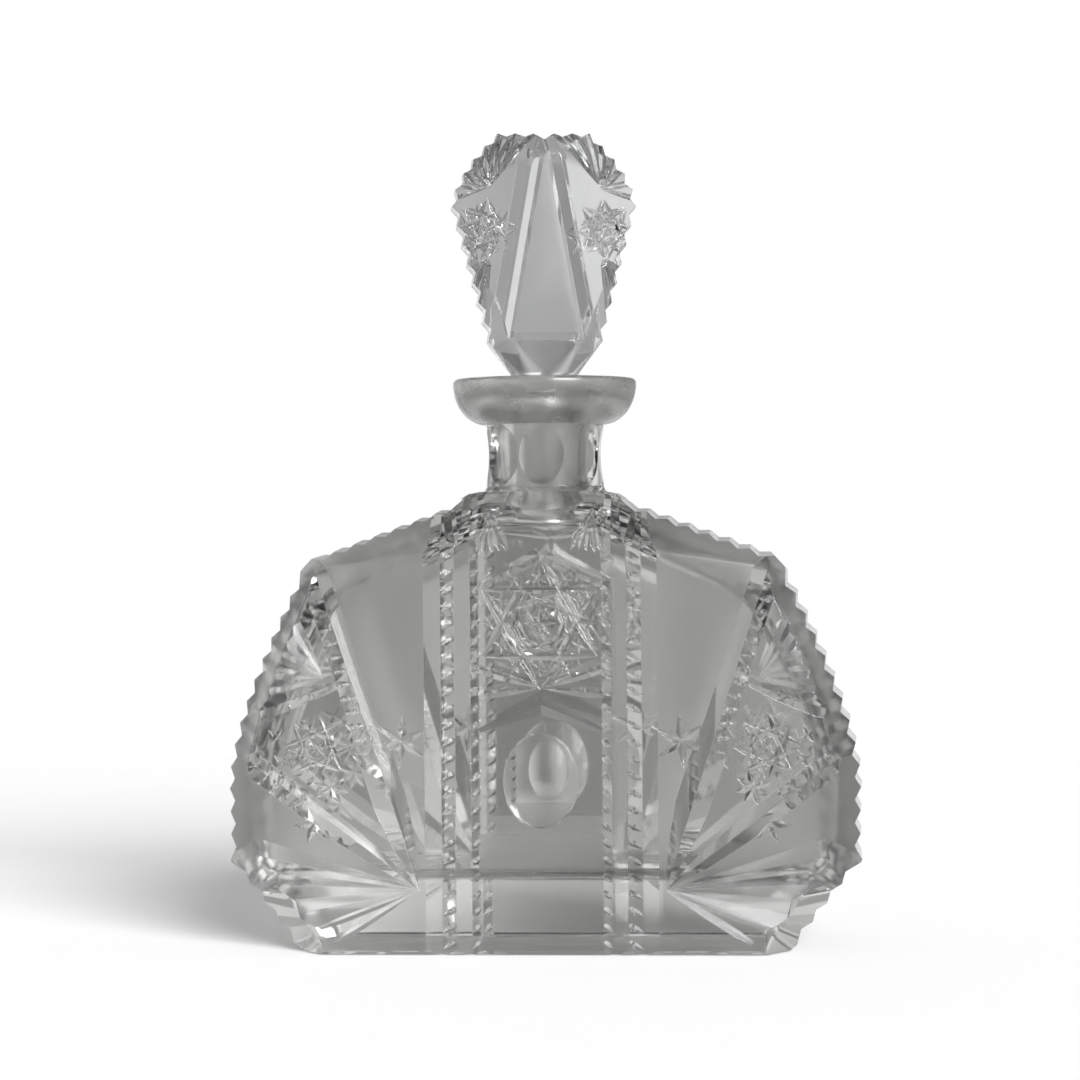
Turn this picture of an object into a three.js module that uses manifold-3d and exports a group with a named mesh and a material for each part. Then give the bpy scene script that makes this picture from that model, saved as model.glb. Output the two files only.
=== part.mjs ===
// Cut-crystal decanter: a flat, fan-shaped bottle with a fluted neck and a flared lip, and the solid
// stopper that is ground into its neck. Millimetres, +Z up. The origin is the middle of the base, and
// the front faces -Y. The back is cut as the front is.

import * as THREE from 'three';
import { mergeVertices } from 'three/addons/utils/BufferGeometryUtils.js';
import { ConvexGeometry } from 'three/addons/geometries/ConvexGeometry.js';
import Module from 'manifold-3d';

const wasm = await Module();
wasm.setup();

// Body blank. x and z place each corner of the right half on the serrated edge, and inX and inZ say
// how much further in that corner lies on the flat face, where the bevel ends.
const halfWidth = 95.3;
const bodyDepth = 60;
const edgeDepth = 40;
const crown = { x: 18, z: 137, inX: 6, inZ: 12.5 };
const lobe = { x: 21.6, z: crown.z - 0.6, inX: 3, inZ: 13.2 };
const pad = { x: 25.8, z: crown.z - 3.2, inX: -3, inZ: 12.8 };
const brow = { x: 68.4, z: 118.2, inX: 5, inZ: 3.3 };
const temple = { x: 73.4, z: 112.8, inX: 6.9, inZ: 1.3 };
const waist = { x: halfWidth, z: 50, inX: 8, inZ: 2 };
const hip = { x: halfWidth - 0.3, z: 28, inX: 8.2, inZ: -5 };
const knee = { x: halfWidth - 1.8, z: 25, inX: 10, inZ: -4.5 };
const foot = { x: 76, z: 2.5, inX: 7.5, inZ: -6 };
const sole = { x: 73, z: 0, inX: 8, inZ: 0 };
const sideSwell = 19.6;
const baseChamfer = 1.5;
const chamferSlope = 0.2;

// Hollow of the body
const sideWall = 9;
const faceWall = 7.5;
const topWall = 8;
const floorThickness = 20;
const hollowRounding = 9;

// Neck, lip and ground bore
const neckRadius = 17.9;
const neckHeight = 20.4;
const neckFlutes = 8;
const fluteApothem = 16.6;
const fluteWheelRadius = 32;
const collarRadius = 18.8;
const collarHeight = 1.6;
const lipRadius = 27.9;
const lipHeight = 13.9;
const rimRounding = 1.4;
const rimWidth = 3;
const funnelDepth = 8.3;
const boreRadius = 10.3;
const boreTaper = 0.05;
const boreFlare = 6;

// Stopper. It stands a little turned in the neck, as a round plug lets it.
const plugClearance = 0.3;
const plugLength = 27;
const plugChamfer = 1;
const waistRadius = 10.5;
const waistRise = 1.6;
const headRise = 9.8;
const headFootHalfWidth = 17.5;
const headHalfWidth = 28;
const headWidestRise = 40.5;
const headShoulderRise = 50;
const headTopHalfWidth = 14.2;
const headHeight = 62.8;
const headEdgeHalfDepth = 6;
const headHalfDepth = 13;
const panelFootHalfWidth = 11.5;
const panelFootRise = 2;
const panelApexHalfWidth = 2;
const panelApexDrop = 7;
const stripDepth = 1.5;
const stripTilt = 20;
const stopperTurn = 8;

// Serrated edges. A pitch is measured along the edge, a depth from the outline, and a slope is the
// depth over half the notch's width.
const shoulderNotch = { pitch: 6.7, depth: 1.1, slope: 0.37 };
const sideNotch = { pitch: 7, depth: 1.7, slope: 0.5 };
const cornerNotch = { pitch: 6.8, depth: 1.3, slope: 0.42 };
const headNotch = { pitch: 5.9, depth: 1.4, slope: 0.52 };
const headTopNotch = { pitch: 5.9, depth: 0.9, slope: 0.4 };
const headDip = { depth: 2.2, slope: 0.7 };
const notchSink = 0.05;
const notchOverrun = 1;

// Wheel cuts on the flat faces. The slope of a cut is its depth over half its width, and a list of
// depths is taken at even steps along the cut.
const cutSlope = 0.6;
const fineSlope = 0.75;
const cutLift = 0.4;
const cutOverrun = 2;
const fadeOut = -0.1;

// The upright grooves are steeper towards the middle panel, and that facet is notched. These notches
// and those of the rays stand twice as far apart as on the glass, to keep the faces few.
const columns = [
  { keel: 29.8, innerSlope: 0.55, outerSlope: 0.48 },
  { keel: 20.9, innerSlope: 0.85, outerSlope: 0.51 },
];
const columnDepth = 2.3;
const columnTopDepth = 1.2;
const columnNotch = { pitch: 10, depth: 0.6, lean: 1.2 };

// Two rays start at the focus. "notchedFrom" is the share of a ray's length where its notches begin.
const focus = { x: 36.5, z: 19.3 };
const templeRay = { depths: [0, 3.1, 2.6, 2.5, 2.5], notchedFrom: 0.37 };
const waistRay = { x: 87.3, z: 57.5, depths: [0, 1.9, 2.2, 2.2], notchedFrom: 0.62 };
const rayNotch = { pitch: 8.6, depth: 0.9, lean: 0.5 };
const notchMargin = 0.05;

// Fans of straight cuts from one point to several. "ends" lists x and z.
const cornerFan = { ends: [[84.5, 29], [78.5, 20.5], [72.5, 12]], depths: [0, 2.5], slope: 0.46 };
const footFan = { ends: [[66, 8], [62, 3.5]], depths: [0, 0.7, 0.3], slope: cutSlope };
const sideFan = { x: 64.5, z: 82, first: [73, 98], last: [81, 79], leaves: 5, depths: [0, 0.9, 1.2] };
const panelFan = { z: 78.8, ends: [[18.2, 84.5], [18.4, 77]], depths: [0, 1.1, 1], slope: fineSlope };
const crossRay = { x: 61.5, z: 80, end: [88, 71], depths: [0.5, 1.8, 1.8] };
const shoulderFan = { x: 15.6, share: 0.4, ends: [9, 11.5, 14, 16.5, 19], fall: 5.5, depth: 1.3 };

// Middle panel
const panelHalfWidth = 18.2;
const lowerChevron = { apex: 73.9, end: 66.4, depths: [1.7, 1.1, 0.4] };
const upperChevron = { apex: 118.4, end: 109.2, depths: [1.2, 0.9, 0.5] };
const lens = { z: 51.5, halfWidth: 10.9, halfHeight: 13.7, depth: 1.9 };
const plaque = { halfWidth: 18.7, top: 35.8, foot: 24.6, depth: 0.35 };

// Stars of straight cuts. Each cut joins a point of the star to the one that lies "skip" points on,
// and "turn" is how far its first point lies from straight up. On the stopper's head, z is the height
// over the foot of the head.
const panelStar = { x: 0, z: 98, radius: 19.6, points: 6, skip: 2, turn: 0, depth: 0.9 };
const ringStar = { x: 0, z: 98, radius: 9.4, points: 8, skip: 2, turn: 22.5, depth: 0.6 };
const sideStar = { x: 66.5, z: 61.5, radius: 10.5, points: 8, skip: 3, turn: 0, depth: 0.8 };
const smallStars = [
  { x: 41.4, z: 63.2, radius: 9, points: 6, skip: 3, turn: 5, depth: 0.9 },
  { x: 62.5, z: 49.5, radius: 6, points: 8, skip: 4, turn: 15, depth: 0.9 },
  { x: 67.5, z: 39.2, radius: 7, points: 6, skip: 3, turn: 20, depth: 0.9 },
];
const headStar = { x: 17, z: 34, radius: 8.5, points: 8, skip: 3, turn: 0, depth: 0.6 };
const headFan = { x: 17, z: 46, leaves: 5, depth: 1 };

// Fineness of round forms
const turnSegments = 32;
const curveSegments = 6;
const rimSegments = 3;
const dishSegments = 24;
const dishRings = [1.06, 0.8, 0.45, 0.05];
const hollowStep = 30;

// Places that follow from the driving dimensions
const faceY = -bodyDepth / 2;
const edgeY = -edgeDepth / 2;
const neckTop = crown.z + neckHeight;
const lipTop = neckTop + lipHeight;
const boreTop = lipTop - funnelDepth;
const cavityTop = crown.z - topWall;
const waistZ = lipTop + waistRise;
const headZ = waistZ + headRise;
const headTop = headZ + headHeight;
const front = new THREE.Vector3(0, -1, 0);
const right = new THREE.Vector3(1, 0, 0);

// A closed solid for the boolean library: merged vertices, no empty triangles, faces pointing out.
function solid(geometry) {
  const bare = geometry.clone();
  bare.deleteAttribute('normal');
  bare.deleteAttribute('uv');
  const merged = mergeVertices(bare, 1e-4);
  const position = merged.attributes.position;
  const index = merged.index.array;
  const corner = [new THREE.Vector3(), new THREE.Vector3(), new THREE.Vector3()];
  const faces = [];
  let volume = 0;
  for (let i = 0; i < index.length; i += 3) {
    const face = [index[i], index[i + 1], index[i + 2]];
    if (new Set(face).size < 3) continue;
    faces.push(...face);
    face.forEach((vertex, k) => corner[k].fromBufferAttribute(position, vertex));
    volume += corner[0].dot(corner[1].cross(corner[2]));
  }
  if (volume < 0) faces.reverse();
  const mesh = new wasm.Mesh({ numProp: 3, vertProperties: position.array, triVerts: Uint32Array.from(faces) });
  return new wasm.Manifold(mesh);
}

function geometryOf(body) {
  const mesh = body.getMesh();
  const geometry = new THREE.BufferGeometry();
  geometry.setAttribute('position', new THREE.BufferAttribute(mesh.vertProperties, 3));
  geometry.setIndex(new THREE.BufferAttribute(mesh.triVerts, 1));
  geometry.computeVertexNormals();
  return geometry;
}

// A skin over sections with equally many corners, closed at both ends.
function loft(sections) {
  const sides = sections[0].length;
  const points = sections.flat();
  const index = [];
  for (let row = 0; row + 1 < sections.length; row++) {
    for (let i = 0; i < sides; i++) {
      const a = row * sides + i;
      const b = row * sides + (i + 1) % sides;
      index.push(a, b, b + sides, a, b + sides, a + sides);
    }
  }
  for (const row of [0, sections.length - 1]) {
    const centre = new THREE.Vector3();
    sections[row].forEach((point) => centre.addScaledVector(point, 1 / sides));
    const hub = points.push(centre) - 1;
    for (let i = 0; i < sides; i++) {
      const a = row * sides + i;
      const b = row * sides + (i + 1) % sides;
      index.push(...(row === 0 ? [hub, b, a] : [hub, a, b]));
    }
  }
  const geometry = new THREE.BufferGeometry().setFromPoints(points);
  geometry.setIndex(index);
  return geometry;
}

// A form turned round the vertical axis, from a profile of [radius, z] that starts and ends on it.
function turned(profile) {
  const points = profile.map(([radius, z]) => new THREE.Vector2(radius, z));
  return new THREE.LatheGeometry(points, turnSegments).rotateX(Math.PI / 2);
}

// Cutters that run from front to back, on the right and the left.
function onBothSides(cutters) {
  return cutters.flatMap((cutter) => [solid(cutter), solid(cutter.clone().scale(-1, 1, 1))]);
}

// The same cutter on the right and the left, and on the front and the back.
function onAllFaces(cutters) {
  const copies = [];
  for (const x of [1, -1]) {
    for (const y of [1, -1]) copies.push(...cutters.map((cutter) => solid(cutter.clone().scale(x, y, 1))));
  }
  return copies;
}

// The right half of the body's outline, from the top down. "share" is 0 on the edge and 1 on the face.
function halfOutline(share) {
  const place = (corner) => [corner.x - share * corner.inX, corner.z - share * corner.inZ];
  const path = new THREE.Path();
  path.moveTo(...place(crown));
  for (const corner of [lobe, pad, brow, temple]) path.lineTo(...place(corner));
  const [waistX, waistHeight] = place(waist);
  path.quadraticCurveTo(waistX, waistHeight + sideSwell, waistX, waistHeight);
  for (const corner of [hip, knee, foot, sole]) path.lineTo(...place(corner));
  return path.getPoints(curveSegments);
}

// A ring of points at depth y, from the right half of an outline.
function ring(half, y) {
  const right = half.map((point) => new THREE.Vector3(point.x, y, point.y));
  const left = half.map((point) => new THREE.Vector3(-point.x, y, point.y)).reverse();
  return [...right, ...left];
}

function bodyBlank() {
  const face = halfOutline(1);
  const edge = halfOutline(0);
  return loft([ring(face, faceY), ring(edge, edgeY), ring(edge, -edgeY), ring(face, -faceY)]);
}

// The hollow follows the outline inside its walls, and its section is rounded towards the faces.
function bodyHollow() {
  const path = new THREE.Path();
  path.moveTo(crown.x, cavityTop);
  path.lineTo(brow.x - sideWall, brow.z - topWall);
  path.lineTo(temple.x - sideWall, temple.z - topWall);
  const side = waist.x - sideWall;
  path.quadraticCurveTo(side, waist.z + sideSwell, side, waist.z);
  path.lineTo(side, floorThickness + hollowRounding);
  path.quadraticCurveTo(side, floorThickness, side - hollowRounding, floorThickness);
  const half = path.getPoints(curveSegments);
  const halfDepth = bodyDepth / 2 - faceWall;
  const middle = (cavityTop + floorThickness) / 2;
  const sections = [];
  for (let turn = -90; turn <= 90; turn += hollowStep) {
    const angle = THREE.MathUtils.degToRad(turn);
    const inset = hollowRounding * (1 - Math.cos(angle));
    const across = (side - inset) / side;
    const up = (cavityTop - middle - inset) / (cavityTop - middle);
    const shrunk = half.map((point) => new THREE.Vector2(point.x * across, middle + (point.y - middle) * up));
    sections.push(ring(shrunk, halfDepth * Math.sin(angle)));
  }
  return loft(sections);
}

// Neck as a turned column, with its flutes cut. It starts inside the body and ends in the lip.
function neckColumn() {
  const top = neckTop + rimRounding;
  const profile = [[0, cavityTop], [collarRadius, cavityTop], [collarRadius, crown.z]];
  profile.push([neckRadius, crown.z + collarHeight], [neckRadius, top], [0, top]);
  return solid(turned(profile)).subtract(wasm.Manifold.union(neckFluteCutters().map(solid)));
}

// The flared lip: a bowl outside and a rounded rim.
function lipBlank() {
  const bowlHeight = lipHeight - rimRounding;
  const bowlWidth = lipRadius - neckRadius;
  const bowlTop = neckTop + bowlHeight;
  const bowl = new THREE.EllipseCurve(neckRadius, bowlTop, bowlWidth, bowlHeight, -Math.PI / 2, 0);
  const rimCentre = lipRadius - rimRounding;
  const rim = new THREE.EllipseCurve(rimCentre, bowlTop, rimRounding, rimRounding, 0, Math.PI / 2);
  const outside = [...bowl.getPoints(curveSegments), ...rim.getPoints(rimSegments).slice(1)];
  return turned([[0, neckTop], ...outside.map((point) => [point.x, point.y]), [0, lipTop]]);
}

// A flat flute for each side of the neck, as a wheel with a level axle cuts it.
function neckFluteCutters() {
  const cutters = [];
  const width = 2 * neckRadius * Math.tan(Math.PI / neckFlutes);
  for (let i = 0; i < neckFlutes; i++) {
    const wheel = new THREE.CylinderGeometry(fluteWheelRadius, fluteWheelRadius, width, 2 * turnSegments);
    wheel.rotateZ(Math.PI / 2);
    wheel.translate(0, -fluteApothem - fluteWheelRadius, (crown.z + collarHeight + neckTop) / 2);
    wheel.rotateZ(i * 2 * Math.PI / neckFlutes);
    cutters.push(wheel);
  }
  return cutters;
}

// Funnel in the lip, ground taper for the plug, and the flare from the taper to the hollow.
function boreHollow() {
  const mouth = lipRadius - rimWidth;
  const funnel = new THREE.EllipseCurve(boreRadius, lipTop, mouth - boreRadius, funnelDepth, -Math.PI / 2, 0);
  const endRadius = boreRadius - boreTaper * (boreTop - cavityTop - boreFlare);
  const profile = [[0, cavityTop - boreFlare], [endRadius + boreFlare, cavityTop - boreFlare]];
  profile.push([endRadius, cavityTop + boreFlare]);
  funnel.getPoints(curveSegments).forEach((point) => profile.push([point.x, point.y]));
  profile.push([mouth, lipTop + cutOverrun], [0, lipTop + cutOverrun]);
  return turned(profile);
}

// A V-shaped cut. Each station gives a point on the surface and how deep the keel lies under it. The
// second slope is the one on the side that "across" points to.
function vCut(stations, out, across, slope, farSlope = slope) {
  return loft(stations.map(({ point, depth }) => {
    const top = point.clone().addScaledVector(out, cutLift);
    return [
      top.clone().addScaledVector(across, -(depth + cutLift) / slope),
      point.clone().addScaledVector(out, -depth),
      top.clone().addScaledVector(across, (depth + cutLift) / farSlope),
    ];
  }));
}

// A wheel cut from one point of a surface to another, with its depths at even steps.
function mitre(start, end, out, depths, slope = cutSlope) {
  const across = end.clone().sub(start).cross(out).normalize();
  const last = depths.length - 1;
  return vCut(depths.map((depth, i) => ({ point: start.clone().lerp(end, i / last), depth })), out, across, slope);
}

// A point of the front face.
function onFace(x, z) {
  return new THREE.Vector3(x, faceY, z);
}

// Height of an outline's top edge at x.
function topAt(half, x) {
  const next = half.findIndex((point) => point.x > x);
  if (next === 0) return half[0].y;
  const from = half[next - 1];
  const to = half[next];
  return from.y + (to.y - from.y) * (x - from.x) / (to.x - from.x);
}

// A point of the shoulder's bevel. "share" is 0 on the edge and 1 on the crease.
function onShoulder(x, share) {
  const edge = new THREE.Vector3(x, edgeY, topAt(halfOutline(0), x));
  return edge.lerp(onFace(x, topAt(halfOutline(1), x)), share);
}

// The upright grooves beside the middle panel. They run over the crease and up the shoulder bevel.
function columnCutters() {
  return columns.map(({ keel, innerSlope, outerSlope }) => {
    const crease = onShoulder(keel, 1);
    const top = onShoulder(keel, 0);
    const beyond = top.clone().sub(crease).setLength(cutOverrun).add(top);
    const stations = [
      { point: onFace(keel, -cutOverrun), depth: columnDepth },
      { point: crease, depth: columnDepth },
      { point: top, depth: columnTopDepth },
      { point: beyond, depth: columnTopDepth },
    ];
    return vCut(stations, front, right, innerSlope, outerSlope);
  });
}

// Notches over one facet of a groove. Each is deepest at the facet's ridge and runs out at the keel.
// "side" points to the ridge, and "groove" along the groove.
function facetNotches(places, groove, side, { depth, slope }, notch) {
  const half = depth / slope;
  const out = front.clone().multiplyScalar(half).addScaledVector(side, -depth).normalize();
  return places.map((place) => {
    const ridge = place.clone().addScaledVector(side, half).addScaledVector(groove, notch.lean);
    const keel = place.clone().addScaledVector(front, -depth).addScaledVector(groove, -notch.lean);
    const start = ridge.clone().lerp(keel, notchMargin);
    const end = keel.clone().lerp(ridge, notchMargin);
    return vCut([{ point: start, depth: notch.depth }, { point: end, depth: fadeOut }], out, groove, cutSlope);
  });
}

function columnNotchCutters() {
  return columns.flatMap(({ keel, innerSlope }) => {
    const count = Math.floor(topAt(halfOutline(1), keel) / columnNotch.pitch);
    const places = Array.from({ length: count }, (_, i) => onFace(keel, columnNotch.pitch * (i + 0.5)));
    const facet = { depth: columnDepth, slope: innerSlope };
    return facetNotches(places, new THREE.Vector3(0, 0, 1), right.clone().negate(), facet, columnNotch);
  });
}

// A ray from the focus that runs off the face. "hands" tells which of its facets are notched.
function rayCutters(end, { depths, notchedFrom }, hands) {
  const start = onFace(focus.x, focus.z);
  const groove = end.clone().sub(start).normalize();
  const side = groove.clone().cross(front);
  const length = end.distanceTo(start);
  const count = Math.floor(length * (1 - notchedFrom) / rayNotch.pitch);
  const places = Array.from({ length: count }, (_, i) => (
    start.clone().addScaledVector(groove, length - rayNotch.pitch * (i + 0.5))
  ));
  const facet = { depth: depths.at(-1), slope: cutSlope };
  const beyond = end.clone().addScaledVector(groove, 3 * cutOverrun);
  return [
    mitre(start, beyond, front, depths),
    ...hands.flatMap((hand) => facetNotches(places, groove, side.clone().multiplyScalar(hand), facet, rayNotch)),
  ];
}

// The temple's ray is notched on its outer facet, and the waist's ray on both.
function bothRayCutters() {
  const templeEnd = onFace(temple.x - temple.inX, temple.z - temple.inZ);
  return [
    ...rayCutters(templeEnd, templeRay, [1]),
    ...rayCutters(onFace(waistRay.x, waistRay.z), waistRay, [1, -1]),
  ];
}

function fanCutters(x, z, { ends, depths, slope }) {
  return ends.map((end) => mitre(onFace(x, z), onFace(...end), front, depths, slope));
}

// The cross ray with its fan, between the two rays from the focus.
function sideFanCutters() {
  const first = onFace(...sideFan.first);
  const last = onFace(...sideFan.last);
  const cutters = [mitre(onFace(crossRay.x, crossRay.z), onFace(...crossRay.end), front, crossRay.depths)];
  for (let i = 0; i < sideFan.leaves; i++) {
    const end = first.clone().lerp(last, i / (sideFan.leaves - 1));
    cutters.push(mitre(onFace(sideFan.x, sideFan.z), end, front, sideFan.depths));
  }
  return cutters;
}

// Fans over the shoulder's crease. Their leaves start on the bevel and end on the flat face.
function shoulderFanCutters() {
  const apex = onShoulder(shoulderFan.x, shoulderFan.share);
  return shoulderFan.ends.map((x) => {
    const end = onFace(x, topAt(halfOutline(1), x) - shoulderFan.fall);
    const crease = end.clone().lerp(apex, shoulderFan.fall / (apex.z - end.z)).setY(faceY);
    const stations = [
      { point: apex, depth: 0 },
      { point: crease, depth: shoulderFan.depth },
      { point: end, depth: fadeOut },
    ];
    return vCut(stations, front, end.clone().sub(apex).cross(front).normalize(), cutSlope);
  });
}

// Chevrons over and under the star field of the middle panel.
function chevronCutters() {
  return [lowerChevron, upperChevron].map(({ apex, end, depths }) => (
    mitre(onFace(0, apex), onFace(panelHalfWidth, end), front, depths)
  ));
}

// A star whose corners lie on a circle. "place" gives the surface point at x and z. Cuts that run
// through the centre join two points each.
function starCutters(star, place, out) {
  const corner = (i) => {
    const angle = Math.PI / 2 + THREE.MathUtils.degToRad(star.turn) + (i / star.points) * 2 * Math.PI;
    return place(star.x + star.radius * Math.cos(angle), star.z + star.radius * Math.sin(angle));
  };
  const cutters = [];
  const count = 2 * star.skip === star.points ? star.skip : star.points;
  for (let i = 0; i < count; i++) {
    cutters.push(mitre(corner(i), corner(i + star.skip), out, [fadeOut, star.depth, fadeOut], fineSlope));
  }
  return cutters;
}

// A round, dished lens cut in the middle panel.
function lensCutter() {
  const sections = dishRings.map((share) => {
    const y = faceY + lens.depth * (1 - share * share);
    const points = [];
    for (let i = 0; i < dishSegments; i++) {
      const angle = (i / dishSegments) * 2 * Math.PI;
      const x = share * lens.halfWidth * Math.cos(angle);
      points.push(new THREE.Vector3(x, y, lens.z + share * lens.halfHeight * Math.sin(angle)));
    }
    return points;
  });
  return loft(sections);
}

// A shallow plain rectangle under the lens.
function plaqueCutter() {
  const height = plaque.top - plaque.foot;
  const box = new THREE.BoxGeometry(2 * plaque.halfWidth, 2 * plaque.depth, height);
  return box.translate(0, faceY, plaque.foot + height / 2);
}

// Notches across a serrated edge, spread evenly along a curve given in x and z.
function notches(curve, { pitch, depth, slope }, halfDepth) {
  const count = Math.round(curve.getLength() / pitch);
  const cutters = [];
  for (let i = 0; i < count; i++) {
    const share = (i + 0.5) / count;
    const point = curve.getPointAt(share);
    const tangent = curve.getTangentAt(share);
    const across = new THREE.Vector3(tangent.x, 0, tangent.y);
    const out = new THREE.Vector3(tangent.y, 0, -tangent.x);
    const stations = [-halfDepth, 0, halfDepth].map((y) => ({
      point: new THREE.Vector3(point.x, y, point.y),
      depth: depth + notchSink * Math.abs(y),
    }));
    cutters.push(vCut(stations, out, across, slope));
  }
  return cutters;
}

function bodyTeeth() {
  const at = (corner) => new THREE.Vector2(corner.x, corner.z);
  const swell = new THREE.Vector2(waist.x, waist.z + sideSwell);
  const shoulder = new THREE.LineCurve(at(brow), at(pad));
  const side = new THREE.CurvePath();
  side.add(new THREE.LineCurve(at(hip), at(waist)));
  side.add(new THREE.QuadraticBezierCurve(at(waist), swell, at(temple)));
  const corner = new THREE.LineCurve(at(foot), at(knee));
  const reach = bodyDepth / 2 + notchOverrun;
  return [
    ...notches(shoulder, shoulderNotch, reach),
    ...notches(side, sideNotch, reach),
    ...notches(corner, cornerNotch, reach),
  ];
}

// The chamfer under the front edge of the base.
function baseChamferCutter() {
  const out = new THREE.Vector3(0, -1, -1).normalize();
  const across = new THREE.Vector3(0, -1, 1).normalize();
  const stations = [-waist.x, waist.x].map((x) => ({ point: onFace(x, 0), depth: baseChamfer / Math.SQRT2 }));
  return vCut(stations, out, across, chamferSlope);
}

function bottle() {
  const teeth = onBothSides(bodyTeeth());
  const cuts = onAllFaces([
    ...columnCutters(),
    ...columnNotchCutters(),
    ...bothRayCutters(),
    ...fanCutters(focus.x, focus.z, cornerFan),
    ...fanCutters(focus.x, focus.z, footFan),
    ...fanCutters(0, panelFan.z, panelFan),
    ...sideFanCutters(),
    ...shoulderFanCutters(),
    ...chevronCutters(),
    ...[sideStar, ...smallStars].flatMap((star) => starCutters(star, onFace, front)),
  ]);
  const stars = [panelStar, ringStar].flatMap((star) => starCutters(star, onFace, front));
  const middle = [lensCutter(), plaqueCutter(), baseChamferCutter(), ...stars];
  for (const y of [1, -1]) cuts.push(...middle.map((cutter) => solid(cutter.clone().scale(1, y, 1))));
  const body = solid(bodyBlank()).subtract(wasm.Manifold.union([...teeth, ...cuts]));
  const outside = wasm.Manifold.union([body, neckColumn(), solid(lipBlank())]);
  return geometryOf(outside.subtract(solid(bodyHollow()).add(solid(boreHollow()))));
}

// The right half of the stopper's head, seen from the front: a straight side and a rounded shoulder.
function headSide() {
  return new THREE.LineCurve(
    new THREE.Vector2(headFootHalfWidth, headZ),
    new THREE.Vector2(headHalfWidth, headZ + headWidestRise),
  );
}

function headShoulder() {
  return new THREE.QuadraticBezierCurve(
    new THREE.Vector2(headHalfWidth, headZ + headWidestRise),
    new THREE.Vector2(headHalfWidth, headZ + headShoulderRise),
    new THREE.Vector2(headTopHalfWidth, headTop),
  );
}

// The head swells from the round waist to a raised panel on each face and a narrower serrated edge.
function headBlank() {
  const points = [];
  for (let i = 0; i < turnSegments / 2; i++) {
    const angle = (i / turnSegments) * 4 * Math.PI;
    points.push(new THREE.Vector3(waistRadius * Math.cos(angle), waistRadius * Math.sin(angle), waistZ));
  }
  const edge = [...headSide().getPoints(1), ...headShoulder().getPoints(curveSegments).slice(1)];
  for (const y of [-headEdgeHalfDepth, headEdgeHalfDepth]) points.push(...ring(edge, y));
  const panelFoot = panelCorner(panelFootHalfWidth, headZ + panelFootRise);
  const panelApex = panelCorner(panelApexHalfWidth, headTop - panelApexDrop);
  for (const corner of [panelFoot, panelApex]) {
    for (const x of [1, -1]) {
      for (const y of [1, -1]) points.push(corner.clone().multiply(new THREE.Vector3(x, y, 1)));
    }
  }
  return new ConvexGeometry(points);
}

function panelCorner(x, z) {
  return new THREE.Vector3(x, -headHalfDepth, z);
}

// The bright strips that bound the raised panel.
function stripCutter() {
  const tilt = THREE.MathUtils.degToRad(stripTilt);
  const out = new THREE.Vector3(Math.sin(tilt), -Math.cos(tilt), 0);
  const foot = panelCorner(panelFootHalfWidth, headZ + panelFootRise);
  const apex = panelCorner(panelApexHalfWidth, headTop - panelApexDrop);
  const below = foot.clone().sub(apex).setLength(3 * cutOverrun).add(foot);
  const above = apex.clone().sub(foot).setLength(panelApexDrop).add(apex);
  return mitre(below, above, out, [stripDepth, stripDepth, stripDepth]);
}

// The sloping surface between the raised panel and the serrated edge, with the star and the fan.
function headCutters() {
  const slope = new THREE.Plane().setFromCoplanarPoints(
    panelCorner(panelFootHalfWidth, headZ + panelFootRise),
    panelCorner(panelApexHalfWidth, headTop - panelApexDrop),
    new THREE.Vector3(headHalfWidth, -headEdgeHalfDepth, headZ + headWidestRise),
  );
  const { normal, constant } = slope;
  const place = (x, rise) => {
    const z = headZ + rise;
    return new THREE.Vector3(x, -(normal.x * x + normal.z * z + constant) / normal.y, z);
  };
  const out = normal.clone().multiplyScalar(-Math.sign(normal.y));
  const cutters = starCutters(headStar, place, out);
  for (let i = 0; i < headFan.leaves; i++) {
    const end = headShoulder().getPointAt((i + 0.5) / headFan.leaves);
    const tip = new THREE.Vector3(end.x, -headEdgeHalfDepth, end.y);
    cutters.push(mitre(place(headFan.x, headFan.z), tip, out, [0, headFan.depth, headFan.depth]));
  }
  return cutters;
}

function headTeeth() {
  const corner = new THREE.Vector2(headTopHalfWidth, headTop);
  const topEdge = new THREE.LineCurve(corner, new THREE.Vector2(headTopNotch.pitch / 2, headTop));
  const reach = headHalfDepth + notchOverrun;
  return [
    ...notches(headSide(), headNotch, reach),
    ...notches(headShoulder(), headNotch, reach),
    ...notches(topEdge, headTopNotch, reach),
  ];
}

// The deeper dip in the middle of the head's top edge.
function headDipCutter() {
  const stations = [-1, 1].map((side) => ({
    point: new THREE.Vector3(0, side * (headHalfDepth + notchOverrun), headTop),
    depth: headDip.depth,
  }));
  return vCut(stations, new THREE.Vector3(0, 0, 1), right, headDip.slope);
}

function plugBlank() {
  const radius = boreRadius - plugClearance;
  const endRadius = radius - boreTaper * plugLength;
  const bottom = boreTop - plugLength;
  return turned([
    [0, bottom],
    [endRadius - plugChamfer, bottom],
    [endRadius, bottom + plugChamfer],
    [radius, boreTop],
    [waistRadius, waistZ],
    [waistRadius, waistZ + plugChamfer],
    [0, waistZ + plugChamfer],
  ]);
}

function stopper() {
  const teeth = onBothSides(headTeeth());
  const cuts = onAllFaces([stripCutter(), ...headCutters()]);
  const head = solid(headBlank()).subtract(wasm.Manifold.union([...teeth, ...cuts, solid(headDipCutter())]));
  return geometryOf(head.add(solid(plugBlank())));
}

function namedMesh(name, geometry, color) {
  const material = new THREE.MeshStandardMaterial({ color, roughness: 0.05, metalness: 0, flatShading: true });
  const mesh = new THREE.Mesh(geometry, material);
  mesh.name = name;
  return mesh;
}

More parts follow.
